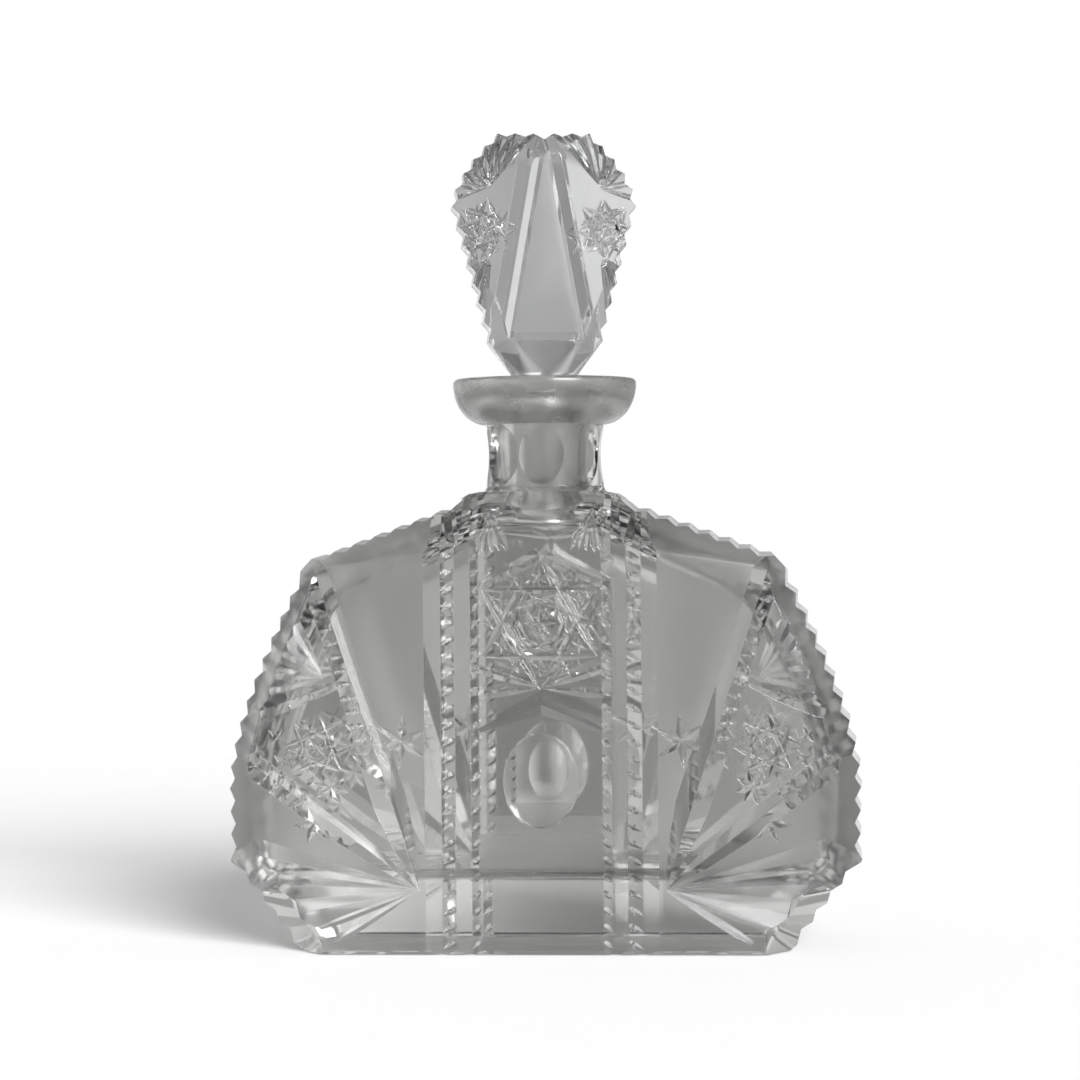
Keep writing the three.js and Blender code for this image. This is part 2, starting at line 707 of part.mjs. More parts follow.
const decanter = new THREE.Group();
const bottleMesh = namedMesh('bottle', bottle(), 0xb4b6b4);
const stopperMesh = namedMesh('stopper', stopper(), 0xbcbebc);
stopperMesh.rotation.z = THREE.MathUtils.degToRad(stopperTurn);
decanter.add(bottleMesh, stopperMesh);

export default decanter;
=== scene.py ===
# Cut-crystal decanter: a flat, fan-shaped bottle with its wheel-cut pattern, and its solid stopper.
# Lengths are in millimetres until a mesh is made. The front faces -Y, and the back is cut alike.

import math

import bmesh
import bpy
from mathutils import Matrix, Vector


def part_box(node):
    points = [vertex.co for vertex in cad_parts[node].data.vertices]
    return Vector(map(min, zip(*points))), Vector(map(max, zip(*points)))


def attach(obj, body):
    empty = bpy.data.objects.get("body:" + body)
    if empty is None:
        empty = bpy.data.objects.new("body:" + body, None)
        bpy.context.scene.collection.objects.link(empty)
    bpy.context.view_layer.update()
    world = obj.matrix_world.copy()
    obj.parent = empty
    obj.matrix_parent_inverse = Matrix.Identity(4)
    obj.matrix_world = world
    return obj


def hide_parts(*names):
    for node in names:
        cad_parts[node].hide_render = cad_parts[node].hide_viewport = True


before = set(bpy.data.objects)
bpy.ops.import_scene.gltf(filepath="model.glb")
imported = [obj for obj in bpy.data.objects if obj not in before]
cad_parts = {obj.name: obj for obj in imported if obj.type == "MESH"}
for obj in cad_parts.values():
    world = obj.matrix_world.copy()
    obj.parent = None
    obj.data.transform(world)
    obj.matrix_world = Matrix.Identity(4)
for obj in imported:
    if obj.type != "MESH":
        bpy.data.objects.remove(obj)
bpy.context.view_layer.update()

MM = 0.001

# Sizes that the frame gives
BOTTLE_LOW, BOTTLE_HIGH = (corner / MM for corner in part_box("bottle"))
STOPPER_LOW, STOPPER_HIGH = (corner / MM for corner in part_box("stopper"))
HALF_WIDTH = BOTTLE_HIGH.x
FACE_Y = BOTTLE_LOW.y
LIP_TOP = BOTTLE_HIGH.z
HEAD_TOP = STOPPER_HIGH.z

# Body blank. Each corner of the right half is (x, z) on the serrated edge, then how much further in
# the corner lies on the flat face, where the bevel ends.
EDGE_Y = FACE_Y * 2 / 3
CROWN = (18, 137, 6, 12.5)
LOBE = (21.6, 136.4, 3, 13.2)
PAD = (25.8, 133.8, -3, 12.8)
BROW = (68.4, 118.2, 5, 3.3)
TEMPLE = (73.4, 112.8, 6.9, 1.3)
WAIST = (HALF_WIDTH, 50, 8, 2)
HIP = (HALF_WIDTH - 0.3, 28, 8.2, -5)
KNEE = (HALF_WIDTH - 1.8, 25, 10, -4.5)
FOOT = (76, 2.5, 7.5, -6)
SOLE = (73, 0, 8, 0)
SIDE_SWELL = 19.6
CREASE_SOFTNESS = 0.16
BASE_CHAMFER = 1.5
CHAMFER_SLOPE = 0.2

# Hollow of the body. Its ends are hazy, from HAZE_FROM outwards.
SIDE_WALL = 9
FACE_WALL = 7.5
TOP_WALL = 8
FLOOR_THICKNESS = 20
HOLLOW_ROUNDING = 5
HAZE_FROM = 50

# Neck, lip and ground bore
NECK_RADIUS = 17.9
NECK_FLUTES = 8
FLUTE_APOTHEM = 16.6
FLUTE_WHEEL_RADIUS = 32
COLLAR_RADIUS = 18.8
COLLAR_HEIGHT = 1.6
LIP_RADIUS = 27.9
LIP_HEIGHT = 13.9
RIM_ROUNDING = 1.4
RIM_WIDTH = 3
FUNNEL_DEPTH = 8.3
BORE_RADIUS = 10.3
BORE_TAPER = 0.05
BORE_FLARE = 6

# Stopper
PLUG_CLEARANCE = 0.3
PLUG_CHAMFER = 1
HEAD_WAIST_RADIUS = 10.5
HEAD_WAIST_RISE = 1.6
HEAD_RISE = 9.8
HEAD_FOOT_HALF_WIDTH = 17.5
HEAD_HALF_WIDTH = 28
HEAD_WIDEST_RISE = 40.5
HEAD_SHOULDER_RISE = 50
HEAD_TOP_HALF_WIDTH = 14.2
HEAD_EDGE_HALF_DEPTH = 6
HEAD_HALF_DEPTH = 13
PANEL_FOOT_HALF_WIDTH = 11.5
PANEL_FOOT_RISE = 2
PANEL_APEX_HALF_WIDTH = 2
PANEL_APEX_DROP = 7
STRIP_DEPTH = 1.5
STRIP_TILT = 20
STOPPER_TURN = 8

# Serrated edges: pitch along the edge, depth from the outline, depth over half the notch's width
SHOULDER_NOTCH = (6.7, 1.1, 0.37)
SIDE_NOTCH = (7, 1.7, 0.5)
CORNER_NOTCH = (6.8, 1.3, 0.42)
HEAD_NOTCH = (5.9, 1.4, 0.52)
HEAD_TOP_NOTCH = (5.9, 0.9, 0.4)
HEAD_DIP = (2.2, 0.7)
NOTCH_SINK = 0.05
NOTCH_OVERRUN = 1

# Cuts on the stopper's head, with heights over the head's foot
HEAD_STAR = (17.5, 33.5)
HEAD_STAR_RADIUS = 9.6
HEAD_STAR_DEPTH = 0.75
HEAD_FAN_APEX = (17, 46)
HEAD_FAN_LEAVES = 8
HEAD_FAN_DEPTH = 1.1
HEAD_FAN_SLOPE = 1.6
HEAD_FOOT_CUTS_RISE = 24
HEAD_FOOT_CUT_ENDS = (8, 14, 20)
HEAD_FOOT_CUT_DEPTHS = (0, 0.5, 0.8)

# Wheel cuts. The slope of a cut is its depth over half its width. Each column groove gives the place
# of its keel and the slopes of its inner and its outer facet. Each small star gives its centre, reach,
# rays and turn. A chevron gives the heights of its apex and of its end, and the depths there.
CUT_SLOPE = 0.6
CUT_LIFT = 0.4
CUT_OVERRUN = 2
FADE_OUT = -0.1
FINE_SLOPE = 0.75
STEEP_SLOPE = 1.25
COLUMNS = ((29.8, 0.55, 0.48), (20.9, 0.85, 0.51))
COLUMN_DEPTH = 2.3
COLUMN_TOP_DEPTH = 1.2
ROPE_PITCH = 5
ROPE_DEPTH = 0.6
ROPE_LEAN = 1.2
FOCUS = (36.5, 19.3)
TEMPLE_RAY_DEPTHS = (0, 2, 3.1, 3.1, 2.6, 2.5, 2.5, 2.5, 2.5)
TEMPLE_ROPE_FROM = 0.37
WAIST_RAY_END = (87.3, 57.5)
WAIST_RAY_DEPTHS = (0, 1.4, 2, 2.2, 2.2, 2.2)
WAIST_ROPE_FROM = 0.62
RAY_ROPE_PITCH = 4.3
RAY_ROPE_LEAN = 0.5
RAY_ROPE_DEPTH = 0.6
CORNER_LINE_END = (84, 33.3)
FAN_ENDS = ((84.5, 29), (78.5, 20.5), (72.5, 12))
FAN_DEPTH = 2.5
FAN_SLOPE = 0.46
FOOT_FAN_ENDS = ((66, 8), (62, 3.5))
FOOT_FAN_DEPTH = 0.7
PANEL_HALF_WIDTH = 18.2
SIDE_FAN_APEX = (64.5, 82)
SIDE_FAN_FIRST = (73, 98)
SIDE_FAN_LAST = (81, 79)
SIDE_FAN_LEAVES = 5
SIDE_FAN_DEPTH = 1.2
CROSS_RAY_START = (61.5, 80)
CROSS_RAY_END = (88, 71)
CROSS_RAY_DEPTH = 1.8
SIDE_STAR = (66.5, 61.5)
SIDE_STAR_RADIUS = 10.5
SIDE_STAR_DEPTH = 0.8
HEART_SHARE = 0.36
HEART_DEPTH = 0.35
SMALL_STARS = (((41.4, 63.2), 9, 6, 35), ((62.5, 49.5), 6, 8, 15), ((67.5, 39.2), 7, 6, 50))
SMALL_STAR_DEPTH = 0.9
HATCH_PLACES = ((78.5, 65), (77, 57.5), (55.5, 66.5), (53.5, 57.5))
HATCH_REACH = 3.4
HATCH_DEPTH = 0.5
HATCH_TURN = 35
STAR_CENTRE = (0, 98)
STAR_RADIUS = 19.6
STAR_DEPTH = 0.9
STAR_TIP_DEPTH = 0.1
STAR_RING = 9.4
STAR_RING_DEPTH = 0.75
STAR_HEART = 5.3
STAR_HEART_DEPTH = 0.95
STAR_SPARK_PLACE = 13.2
STAR_SPARK_STAGGER = 1.12
STAR_SPARK_REACH = 3
STAR_SPARK_DEPTH = 0.55
LOWER_CHEVRON = (73.9, 66.4, 1.7, 0.4)
UPPER_CHEVRON = (118.4, 109.2, 1.2, 0.5)
PANEL_FAN_APEX = (0, 78.8)
PANEL_FAN_ENDS = ((18.2, 84.5), (18.4, 77))
PANEL_FAN_DEPTH = 1.1
PANEL_FAN_TIP_DEPTH = 0.9
PANEL_FAN_DEEPEST = 0.8
SHOULDER_FAN_X = 15.6
SHOULDER_FAN_SHARE = 0.4
SHOULDER_FAN_ENDS = (9, 11.5, 14, 16.5, 19)
SHOULDER_FAN_FALL = 5.5
SHOULDER_FAN_DEPTH = 1.3
LENS_Z = 51.5
LENS_HALF_WIDTH = 10.9
LENS_HALF_HEIGHT = 13.7
LENS_DEPTH = 1.9
LENS_STEP = 0.25
LENS_OVERSIZE = 1.06
LENS_CORE = 0.04
PLAQUE_HALF_WIDTH = 18.7
PLAQUE_TOP = 35.8
PLAQUE_FOOT = 24.6
PLAQUE_ROUNDING = 1.2
PLAQUE_DEPTH = 0.35

# How far the polished edges of the cuts are rounded, as a shading of the glass
EDGE_ROUNDING = 0.25

# Fineness of round forms
TURN_SEGMENTS = 128
CURVE_SEGMENTS = 24
RIM_SEGMENTS = 8
CORNER_SEGMENTS = 8
PLAQUE_SEGMENTS = 6
WHEEL_SEGMENTS = 192
FLOOR_SEGMENTS = 64
HOLLOW_STEPS = 16
BOAT_STATIONS = 7
DISH_SEGMENTS = 64
DISH_RINGS = 10
SHARP_ANGLE = 16
FLAT_ANGLE = 0.2

# How near a face of the mesh lies to a flat face, and how squarely it points out, to be part of it
FLAT_WITHIN = 1
FLAT_FACING = 0.9
PANEL_WITHIN = 0.05

# Places that follow
NECK_TOP = LIP_TOP - LIP_HEIGHT
BORE_TOP = LIP_TOP - FUNNEL_DEPTH
CAVITY_TOP = CROWN[1] - TOP_WALL
WAIST_Z = LIP_TOP + HEAD_WAIST_RISE
HEAD_Z = WAIST_Z + HEAD_RISE
FRONT = Vector((0, -1, 0))
RIGHT = Vector((1, 0, 0))
UP = Vector((0, 0, 1))

# Finishes by their slots. The stopper's third finish is that of its ground plug.
SATIN, POLISHED, CLEAR, PAINTED_SHADE, LIP, HAZY = range(6)
GROUND = CLEAR


# A solid is a list of points and a list of faces, with the faces pointing out.

def closed(points, faces):
    """The solid with its faces turned round if they point in."""
    volume = 0
    for face in faces:
        for b, c in zip(face[1:], face[2:]):
            volume += points[face[0]].dot(points[b].cross(points[c]))
    if volume < 0:
        faces = [face[::-1] for face in faces]
    return points, faces


def loft(sections):
    """A skin over sections with equally many corners, closed at both ends."""
    sides = len(sections[0])
    points = [point for section in sections for point in section]
    faces = []
    for row in range(len(sections) - 1):
        for i in range(sides):
            a = row * sides + i
            b = row * sides + (i + 1) % sides
            faces.append((a, b, b + sides, a + sides))
    faces.append(tuple(range(sides))[::-1])
    faces.append(tuple(range(len(points) - sides, len(points))))
    return closed(points, faces)


def turned(profile):
    """A form turned round the vertical axis, from a profile that starts and ends on the axis."""
    sections = []
    for radius, z in profile[1:-1]:
        section = []
        for i in range(TURN_SEGMENTS):
            angle = 2 * math.pi * i / TURN_SEGMENTS
            section.append(Vector((radius * math.cos(angle), radius * math.sin(angle), z)))
        sections.append(section)
    return loft(sections)


def moved(shape, matrix):
    points, faces = shape
    return closed([matrix @ point for point in points], faces)


def mirrored(shape, x, y):
    return moved(shape, Matrix.Diagonal((x, y, 1)))


def on_both_sides(cutters):
    return [mirrored(cutter, x, 1) for cutter in cutters for x in (1, -1)]


def front_and_back(cutters):
    return [mirrored(cutter, 1, y) for cutter in cutters for y in (1, -1)]


def on_all_faces(cutters):
    return front_and_back(on_both_sides(cutters))


def arc(centre, radii, start, end, steps):
    """Points of an ellipse from one angle to another, in degrees."""
    points = []
    for i in range(steps + 1):
        angle = math.radians(start + (end - start) * i / steps)
        points.append((centre[0] + radii[0] * math.cos(angle), centre[1] + radii[1] * math.sin(angle)))
    return points


def bent(start, control, end, steps):
    """Points of a quadratic curve."""
    points = []
    for i in range(steps + 1):
        t = i / steps
        weights = ((1 - t) ** 2, 2 * t * (1 - t), t * t)
        points.append(tuple(sum(w * p[k] for w, p in zip(weights, (start, control, end))) for k in (0, 1)))
    return points


def mesh_object(name, shapes, finish=POLISHED):
    """One mesh of several solids, all with one finish."""
    points = []
    faces = []
    for shape_points, shape_faces in shapes:
        faces += [tuple(i + len(points) for i in face) for face in shape_faces]
        points += [point * MM for point in shape_points]
    mesh = bpy.data.meshes.new(name)
    mesh.from_pydata(points, [], faces)
    for material in BOTTLE_FINISHES:
        mesh.materials.append(material)
    mesh.polygons.foreach_set("material_index", [finish] * len(mesh.polygons))
    piece = bpy.data.objects.new(name, mesh)
    bpy.context.scene.collection.objects.link(piece)
    return piece


def box_of(shape):
    axes = list(zip(*shape[0]))
    return [min(axis) for axis in axes], [max(axis) for axis in axes]


def apart(a, b):
    return any(a[1][k] < b[0][k] or b[1][k] < a[0][k] for k in range(3))


def batches(shapes):
    """Groups of shapes whose boxes don't meet, so that each group makes one clean solid."""
    groups = []
    for shape in shapes:
        box = box_of(shape)
        for group in groups:
            if all(apart(box, other) for other in group["boxes"]):
                break
        else:
            group = {"boxes": [], "shapes": []}
            groups.append(group)
        group["boxes"].append(box)
        group["shapes"].append(shape)
    return [group["shapes"] for group in groups]


def combine(target, others, operation):
    """Joins other pieces to the target or cuts them from it, and removes them."""
    for other in others:
        step = target.modifiers.new(other.name, "BOOLEAN")
        step.solver = "MANIFOLD"
        step.operation = operation
        step.object = other
    bpy.context.view_layer.update()
    evaluated = target.evaluated_get(bpy.context.evaluated_depsgraph_get())
    mesh = bpy.data.meshes.new_from_object(evaluated)
    target.modifiers.clear()
    old = target.data
    target.data = mesh
    bpy.data.meshes.remove(old)
    for other in others:
        bpy.data.meshes.remove(other.data)


def carve(target, cutters, finish=POLISHED):
    """Cuts the target with all the cutters, and gives the cut surfaces a finish."""
    tools = [mesh_object(f"tool_{i}", group, finish) for i, group in enumerate(batches(cutters))]
    combine(target, tools, "DIFFERENCE")


# Outline of the body

def half_outline(share):
    """The right half of the outline, from the top down. share is 0 on the edge and 1 on the face."""
    def place(corner):
        return corner[0] - share * corner[2], corner[1] - share * corner[3]
    waist = place(WAIST)
    points = [place(corner) for corner in (CROWN, LOBE, PAD, BROW)]
    points += bent(place(TEMPLE), (waist[0], waist[1] + SIDE_SWELL), waist, CURVE_SEGMENTS)
    return points + [place(corner) for corner in (HIP, KNEE, FOOT, SOLE)]


def ring(half, y):
    right = [Vector((x, y, z)) for x, z in half]
    left = [Vector((-x, y, z)) for x, z in reversed(half)]
    return right + left


def body_blank():
    """Flat faces, soft creases and bevels that run out to the serrated edge."""
    soft = CREASE_SOFTNESS
    sections = []
    for share in (1 + soft, 1 + soft / 2, 1, 1 - soft / 2, 1 - soft, 0):
        past = 1 - share
        rise = past if past >= soft else (past + soft) ** 2 / (4 * soft)
        sections.append(ring(half_outline(share), FACE_Y + (EDGE_Y - FACE_Y) * rise))
    sections += [[Vector((p.x, -p.y, p.z)) for p in section] for section in reversed(sections)]
    return loft(sections)


def body_hollow():
    side = WAIST[0] - SIDE_WALL
    floor = FLOOR_THICKNESS
    temple = (TEMPLE[0] - SIDE_WALL, TEMPLE[1] - TOP_WALL)
    half = [(CROWN[0], CAVITY_TOP), (BROW[0] - SIDE_WALL, BROW[1] - TOP_WALL)]
    half += bent(temple, (side, WAIST[1] + SIDE_SWELL), (side, WAIST[1]), CURVE_SEGMENTS)
    corner = (side - HOLLOW_ROUNDING, floor + HOLLOW_ROUNDING)
    half += arc(corner, (HOLLOW_ROUNDING,) * 2, 0, -90, CORNER_SEGMENTS)
    half_depth = -FACE_Y - FACE_WALL
    middle = (CAVITY_TOP + floor) / 2
    half_height = (CAVITY_TOP - floor) / 2
    sections = []
    for i in range(HOLLOW_STEPS + 1):
        angle = math.pi * (i / HOLLOW_STEPS - 0.5)
        inset = HOLLOW_ROUNDING * (1 - math.cos(angle))
        across = (side - inset) / side
        up = (half_height - inset) / half_height
        shrunk = [(x * across, middle + (z - middle) * up) for x, z in half]
        sections.append(ring(shrunk, half_depth * math.sin(angle)))
    return loft(sections)


# Neck and lip

def neck_column():
    top = NECK_TOP + RIM_ROUNDING
    profile = [(0, CAVITY_TOP), (COLLAR_RADIUS, CAVITY_TOP), (COLLAR_RADIUS, CROWN[1])]
    profile += [(NECK_RADIUS, CROWN[1] + COLLAR_HEIGHT), (NECK_RADIUS, top), (0, top)]
    return turned(profile)


def neck_flutes():
    """A wheel with a level axle for each of the neck's flat flutes."""
    half = NECK_RADIUS * math.tan(math.pi / NECK_FLUTES)
    middle = (CROWN[1] + COLLAR_HEIGHT + NECK_TOP) / 2
    axle = (-FLUTE_APOTHEM - FLUTE_WHEEL_RADIUS, middle)
    outline = arc(axle, (FLUTE_WHEEL_RADIUS,) * 2, 0, 360, WHEEL_SEGMENTS)[:-1]
    wheel = loft([[Vector((x, y, z)) for y, z in outline] for x in (-half, half)])
    angles = [2 * math.pi * i / NECK_FLUTES for i in range(NECK_FLUTES)]
    return [moved(wheel, Matrix.Rotation(angle, 3, "Z")) for angle in angles]


def lip_blank():
    bowl_height = LIP_HEIGHT - RIM_ROUNDING
    bowl_top = NECK_TOP + bowl_height
    rim_centre = (LIP_RADIUS - RIM_ROUNDING, bowl_top)
    bowl = arc((NECK_RADIUS, bowl_top), (LIP_RADIUS - NECK_RADIUS, bowl_height), -90, 0, CURVE_SEGMENTS)
    rim = arc(rim_centre, (RIM_ROUNDING,) * 2, 0, 90, RIM_SEGMENTS)[1:]
    return turned([(0, NECK_TOP), *bowl, *rim, (0, LIP_TOP)])


def bore_hollow():
    """The ground taper of the bore, flared into the hollow below and into the lip's funnel above."""
    mouth = LIP_RADIUS - RIM_WIDTH
    end_radius = BORE_RADIUS - BORE_TAPER * (BORE_TOP - CAVITY_TOP - BORE_FLARE)
    low = CAVITY_TOP - BORE_FLARE
    profile = [(0, low), (end_radius + BORE_FLARE, low), (end_radius, CAVITY_TOP + BORE_FLARE)]
    profile += arc((BORE_RADIUS, LIP_TOP), (mouth - BORE_RADIUS, FUNNEL_DEPTH), -90, 0, CURVE_SEGMENTS)
    profile += [(mouth, LIP_TOP + CUT_OVERRUN), (0, LIP_TOP + CUT_OVERRUN)]
    return turned(profile)


# Wheel cuts

def v_cut(stations, out, across, slope, far_slope=None):
    """A V-shaped cut. Each station is a point on the surface and how deep the keel lies under it.

    The far slope is the one on the side that across points to.
    """
    sections = []
    for point, depth in stations:
        top = point + out * CUT_LIFT
        near = across * (depth + CUT_LIFT) / slope
        far = across * (depth + CUT_LIFT) / (far_slope or slope)
        sections.append([top - near, point - out * depth, top + far])
    return loft(sections)


def boat(start, end, out, depth, slope=CUT_SLOPE, deepest=0.5, tips=(FADE_OUT, FADE_OUT)):
    """A cut by a round wheel: it sinks in at one point, is deepest on its way and fades out."""
    across = (end - start).cross(out).normalized()
    stations = []
    for i in range(BOAT_STATIONS):
        t = i / (BOAT_STATIONS - 1)
        tip = tips[0] if t < deepest else tips[1]
        reach = (t - deepest) / (deepest if t < deepest else 1 - deepest) if t != deepest else 0
        stations.append((start.lerp(end, t), depth + (tip - depth) * reach * reach))
    return v_cut(stations, out, across, slope)


def mitre(start, end, out, depths, slope=CUT_SLOPE):
    """A cut from one point of a surface to another, with its depths at even steps."""
    across = (end - start).cross(out).normalized()
    last = len(depths) - 1
    stations = [(start.lerp(end, i / last), depth) for i, depth in enumerate(depths)]
    return v_cut(stations, out, across, slope)


def on_face(x, z):
    return Vector((x, FACE_Y, z))


def top_at(half, x):
    """Height of an outline's top edge at x."""
    i = next(i for i, point in enumerate(half) if point[0] > x)
    if i == 0:
        return half[0][1]
    (x0, z0), (x1, z1) = half[i - 1], half[i]
    return z0 + (z1 - z0) * (x - x0) / (x1 - x0)


def on_shoulder(x, share):
    """A point of the bevel over the crease. share is 1 on the crease and 0 on the edge."""
    z = share * top_at(half_outline(1), x) + (1 - share) * top_at(half_outline(0), x)
    return Vector((x, EDGE_Y + share * (FACE_Y - EDGE_Y), z))


def column_cutters():
    """The upright grooves beside the middle panel. They run over the crease and up the shoulder."""
    cutters = []
    for x, inner_slope, outer_slope in COLUMNS:
        crease = on_shoulder(x, 1)
        top = on_shoulder(x, 0)
        beyond = top + (top - crease).normalized() * CUT_OVERRUN
        stations = [(on_face(x, -CUT_OVERRUN), COLUMN_DEPTH), (crease, COLUMN_DEPTH)]
        stations += [(top, COLUMN_TOP_DEPTH), (beyond, COLUMN_TOP_DEPTH)]
        cutters.append(v_cut(stations, FRONT, RIGHT, inner_slope, outer_slope))
    return cutters


def facet_notches(places, groove, side, depth, slope, notch_depth, lean):
    """Notches over one facet of a groove, from its ridge to its keel. side points to that ridge."""
    half = depth / slope
    out = (FRONT * half - side * depth).normalized()
    cutters = []
    for place in places:
        ridge = place + side * half + groove * lean
        keel = place - FRONT * depth - groove * lean
        cutters.append(boat(ridge, keel, out, notch_depth, deepest=0.3, tips=(0.6 * notch_depth, 0)))
    return cutters


def column_ropes():
    """Slanted notches over the inner facets of the upright grooves."""
    cutters = []
    for x, inner_slope, _ in COLUMNS:
        count = int(top_at(half_outline(1), x) / ROPE_PITCH)
        places = [on_face(x, ROPE_PITCH * (i + 0.5)) for i in range(count)]
        cutters += facet_notches(places, UP, -RIGHT, COLUMN_DEPTH, inner_slope, ROPE_DEPTH, ROPE_LEAN)
    return cutters


def notched_ray(end, depths, rope_from, hands):
    """A groove from the focus that runs off the face, notched on one facet or on both."""
    start = on_face(*FOCUS)
    groove = (end - start).normalized()
    side = groove.cross(FRONT)
    cutters = [mitre(start, end + groove * 3 * CUT_OVERRUN, FRONT, depths)]
    length = (end - start).length
    count = int(length * (1 - rope_from) / RAY_ROPE_PITCH)
    places = [start + groove * (length - RAY_ROPE_PITCH * (i + 0.5)) for i in range(count)]
    sizes = (depths[-1], CUT_SLOPE, RAY_ROPE_DEPTH, RAY_ROPE_LEAN)
    for hand in hands:
        cutters += facet_notches(places, groove, side * hand, *sizes)
    return cutters


def temple_end():
    """Where the ray to the temple runs off the flat face."""
    return on_face(TEMPLE[0] - TEMPLE[2], TEMPLE[1] - TEMPLE[3])


def ray_cutters():
    temple = notched_ray(temple_end(), TEMPLE_RAY_DEPTHS, TEMPLE_ROPE_FROM, (1,))
    return temple + notched_ray(on_face(*WAIST_RAY_END), WAIST_RAY_DEPTHS, WAIST_ROPE_FROM, (1, -1))


def corner_fan():
    """A fan of wide flutes from the focus to the lower corner, and thin strokes under it."""
    start = on_face(*FOCUS)
    depths = [FAN_DEPTH * share for share in (0, 0.25, 0.5, 0.75, 1)]
    cutters = [mitre(start, on_face(*end), FRONT, depths, FAN_SLOPE) for end in FAN_ENDS]
    for end in FOOT_FAN_ENDS:
        cutters.append(boat(start, on_face(*end), FRONT, FOOT_FAN_DEPTH, deepest=0.7, tips=(0, 0.3)))
    return cutters


def burst(centre, reach, rays, depth, turn=0, slope=FINE_SLOPE):
    """A star of boat-shaped cuts that all cross in its centre."""
    cutters = []
    for i in range(rays // 2):
        angle = math.radians(turn) + 2 * math.pi * i / rays
        half = Vector((math.cos(angle), 0, math.sin(angle))) * reach
        middle = on_face(*centre)
        cutters.append(boat(middle - half, middle + half, FRONT, depth, slope))
    return cutters


def chord_star(centre, radius, points, skip, depth, turn=0, place=on_face, out=FRONT):
    """A star of straight cuts, each from a point of the star to the one that lies skip points on."""
    def corner(i):
        angle = math.radians(90 + turn) + 2 * math.pi * i / points
        return place(centre[0] + radius * math.cos(angle), centre[1] + radius * math.sin(angle))
    return [boat(corner(i), corner(i + skip), out, depth, FINE_SLOPE) for i in range(points)]


def between(first, last, count):
    """Even places from the first to the last."""
    return [tuple(a + (b - a) * i / (count - 1) for a, b in zip(first, last)) for i in range(count)]


def side_fan():
    """The fan of leaves in the upper part of the field between the two rays."""
    apex = on_face(*SIDE_FAN_APEX)
    depths = [SIDE_FAN_DEPTH * share for share in (0, 0.5, 0.85, 1)]
    cutters = []
    for x, z in between(SIDE_FAN_FIRST, SIDE_FAN_LAST, SIDE_FAN_LEAVES):
        cutters.append(mitre(apex, on_face(x, z), FRONT, depths))
    return cutters


def side_field():
    """The field between the two rays: a cross ray, a big star, small stars and small crosses."""
    depths = [CROSS_RAY_DEPTH * share for share in (0.3, 0.8, 1, 1)]
    cutters = [mitre(on_face(*CROSS_RAY_START), on_face(*CROSS_RAY_END), FRONT, depths)]
    cutters += chord_star(SIDE_STAR, SIDE_STAR_RADIUS, 8, 3, SIDE_STAR_DEPTH)
    cutters += burst(SIDE_STAR, SIDE_STAR_RADIUS * HEART_SHARE, 8, HEART_DEPTH)
    for centre, reach, rays, turn in SMALL_STARS:
        cutters += burst(centre, reach, rays, SMALL_STAR_DEPTH, turn, CUT_SLOPE)
    for centre in HATCH_PLACES:
        cutters += burst(centre, HATCH_REACH, 4, HATCH_DEPTH, HATCH_TURN)
    return cutters


def panel_star():
    """The six-pointed star in the middle panel, with a ring, a heart and sparks round them."""
    cutters = []
    corners = arc(STAR_CENTRE, (STAR_RADIUS,) * 2, 30, 390, 6)[:-1]
    depths = [STAR_TIP_DEPTH, STAR_DEPTH, STAR_DEPTH, STAR_DEPTH, STAR_TIP_DEPTH]
    for i in range(6):
        start, end = on_face(*corners[i]), on_face(*corners[(i + 2) % 6])
        cutters.append(mitre(start, end, FRONT, depths, FINE_SLOPE))
    cutters += chord_star(STAR_CENTRE, STAR_RING, 8, 2, STAR_RING_DEPTH, turn=22.5)
    cutters += burst(STAR_CENTRE, STAR_HEART, 8, STAR_HEART_DEPTH, slope=STEEP_SLOPE)
    for i in range(12):
        angle = math.radians(30 * i)
        reach = STAR_SPARK_PLACE if i % 2 else STAR_SPARK_PLACE * STAR_SPARK_STAGGER
        centre = (STAR_CENTRE[0] + reach * math.cos(angle), STAR_CENTRE[1] + reach * math.sin(angle))
        cutters += burst(centre, STAR_SPARK_REACH, 6, STAR_SPARK_DEPTH, 30 * i, STEEP_SLOPE)
    return cutters


def chevron(apex, end, depth, end_depth):
    """The right arm of a chevron, from its apex on the middle line to its end."""
    depths = [depth, (depth + end_depth) / 2, end_depth]
    return mitre(on_face(0, apex), on_face(PANEL_HALF_WIDTH, end), FRONT, depths)


def middle_panel():
    """The upper chevron, the fan under the star, and the fans over it that run up the shoulder."""
    cutters = [chevron(*UPPER_CHEVRON)]
    leaf = (PANEL_FAN_DEPTH, FINE_SLOPE, PANEL_FAN_DEEPEST, (FADE_OUT, PANEL_FAN_TIP_DEPTH))
    for end in PANEL_FAN_ENDS:
        cutters.append(boat(on_face(*PANEL_FAN_APEX), on_face(*end), FRONT, *leaf))
    apex = on_shoulder(SHOULDER_FAN_X, SHOULDER_FAN_SHARE)
    for x in SHOULDER_FAN_ENDS:
        end = on_face(x, top_at(half_outline(1), x) - SHOULDER_FAN_FALL)
        crease = end.lerp(apex, SHOULDER_FAN_FALL / (apex.z - end.z))
        crease.y = FACE_Y
        across = (end - apex).cross(FRONT).normalized()
        stations = [(apex, 0), (crease, SHOULDER_FAN_DEPTH), (end, FADE_OUT)]
        cutters.append(v_cut(stations, FRONT, across, CUT_SLOPE))
    return cutters


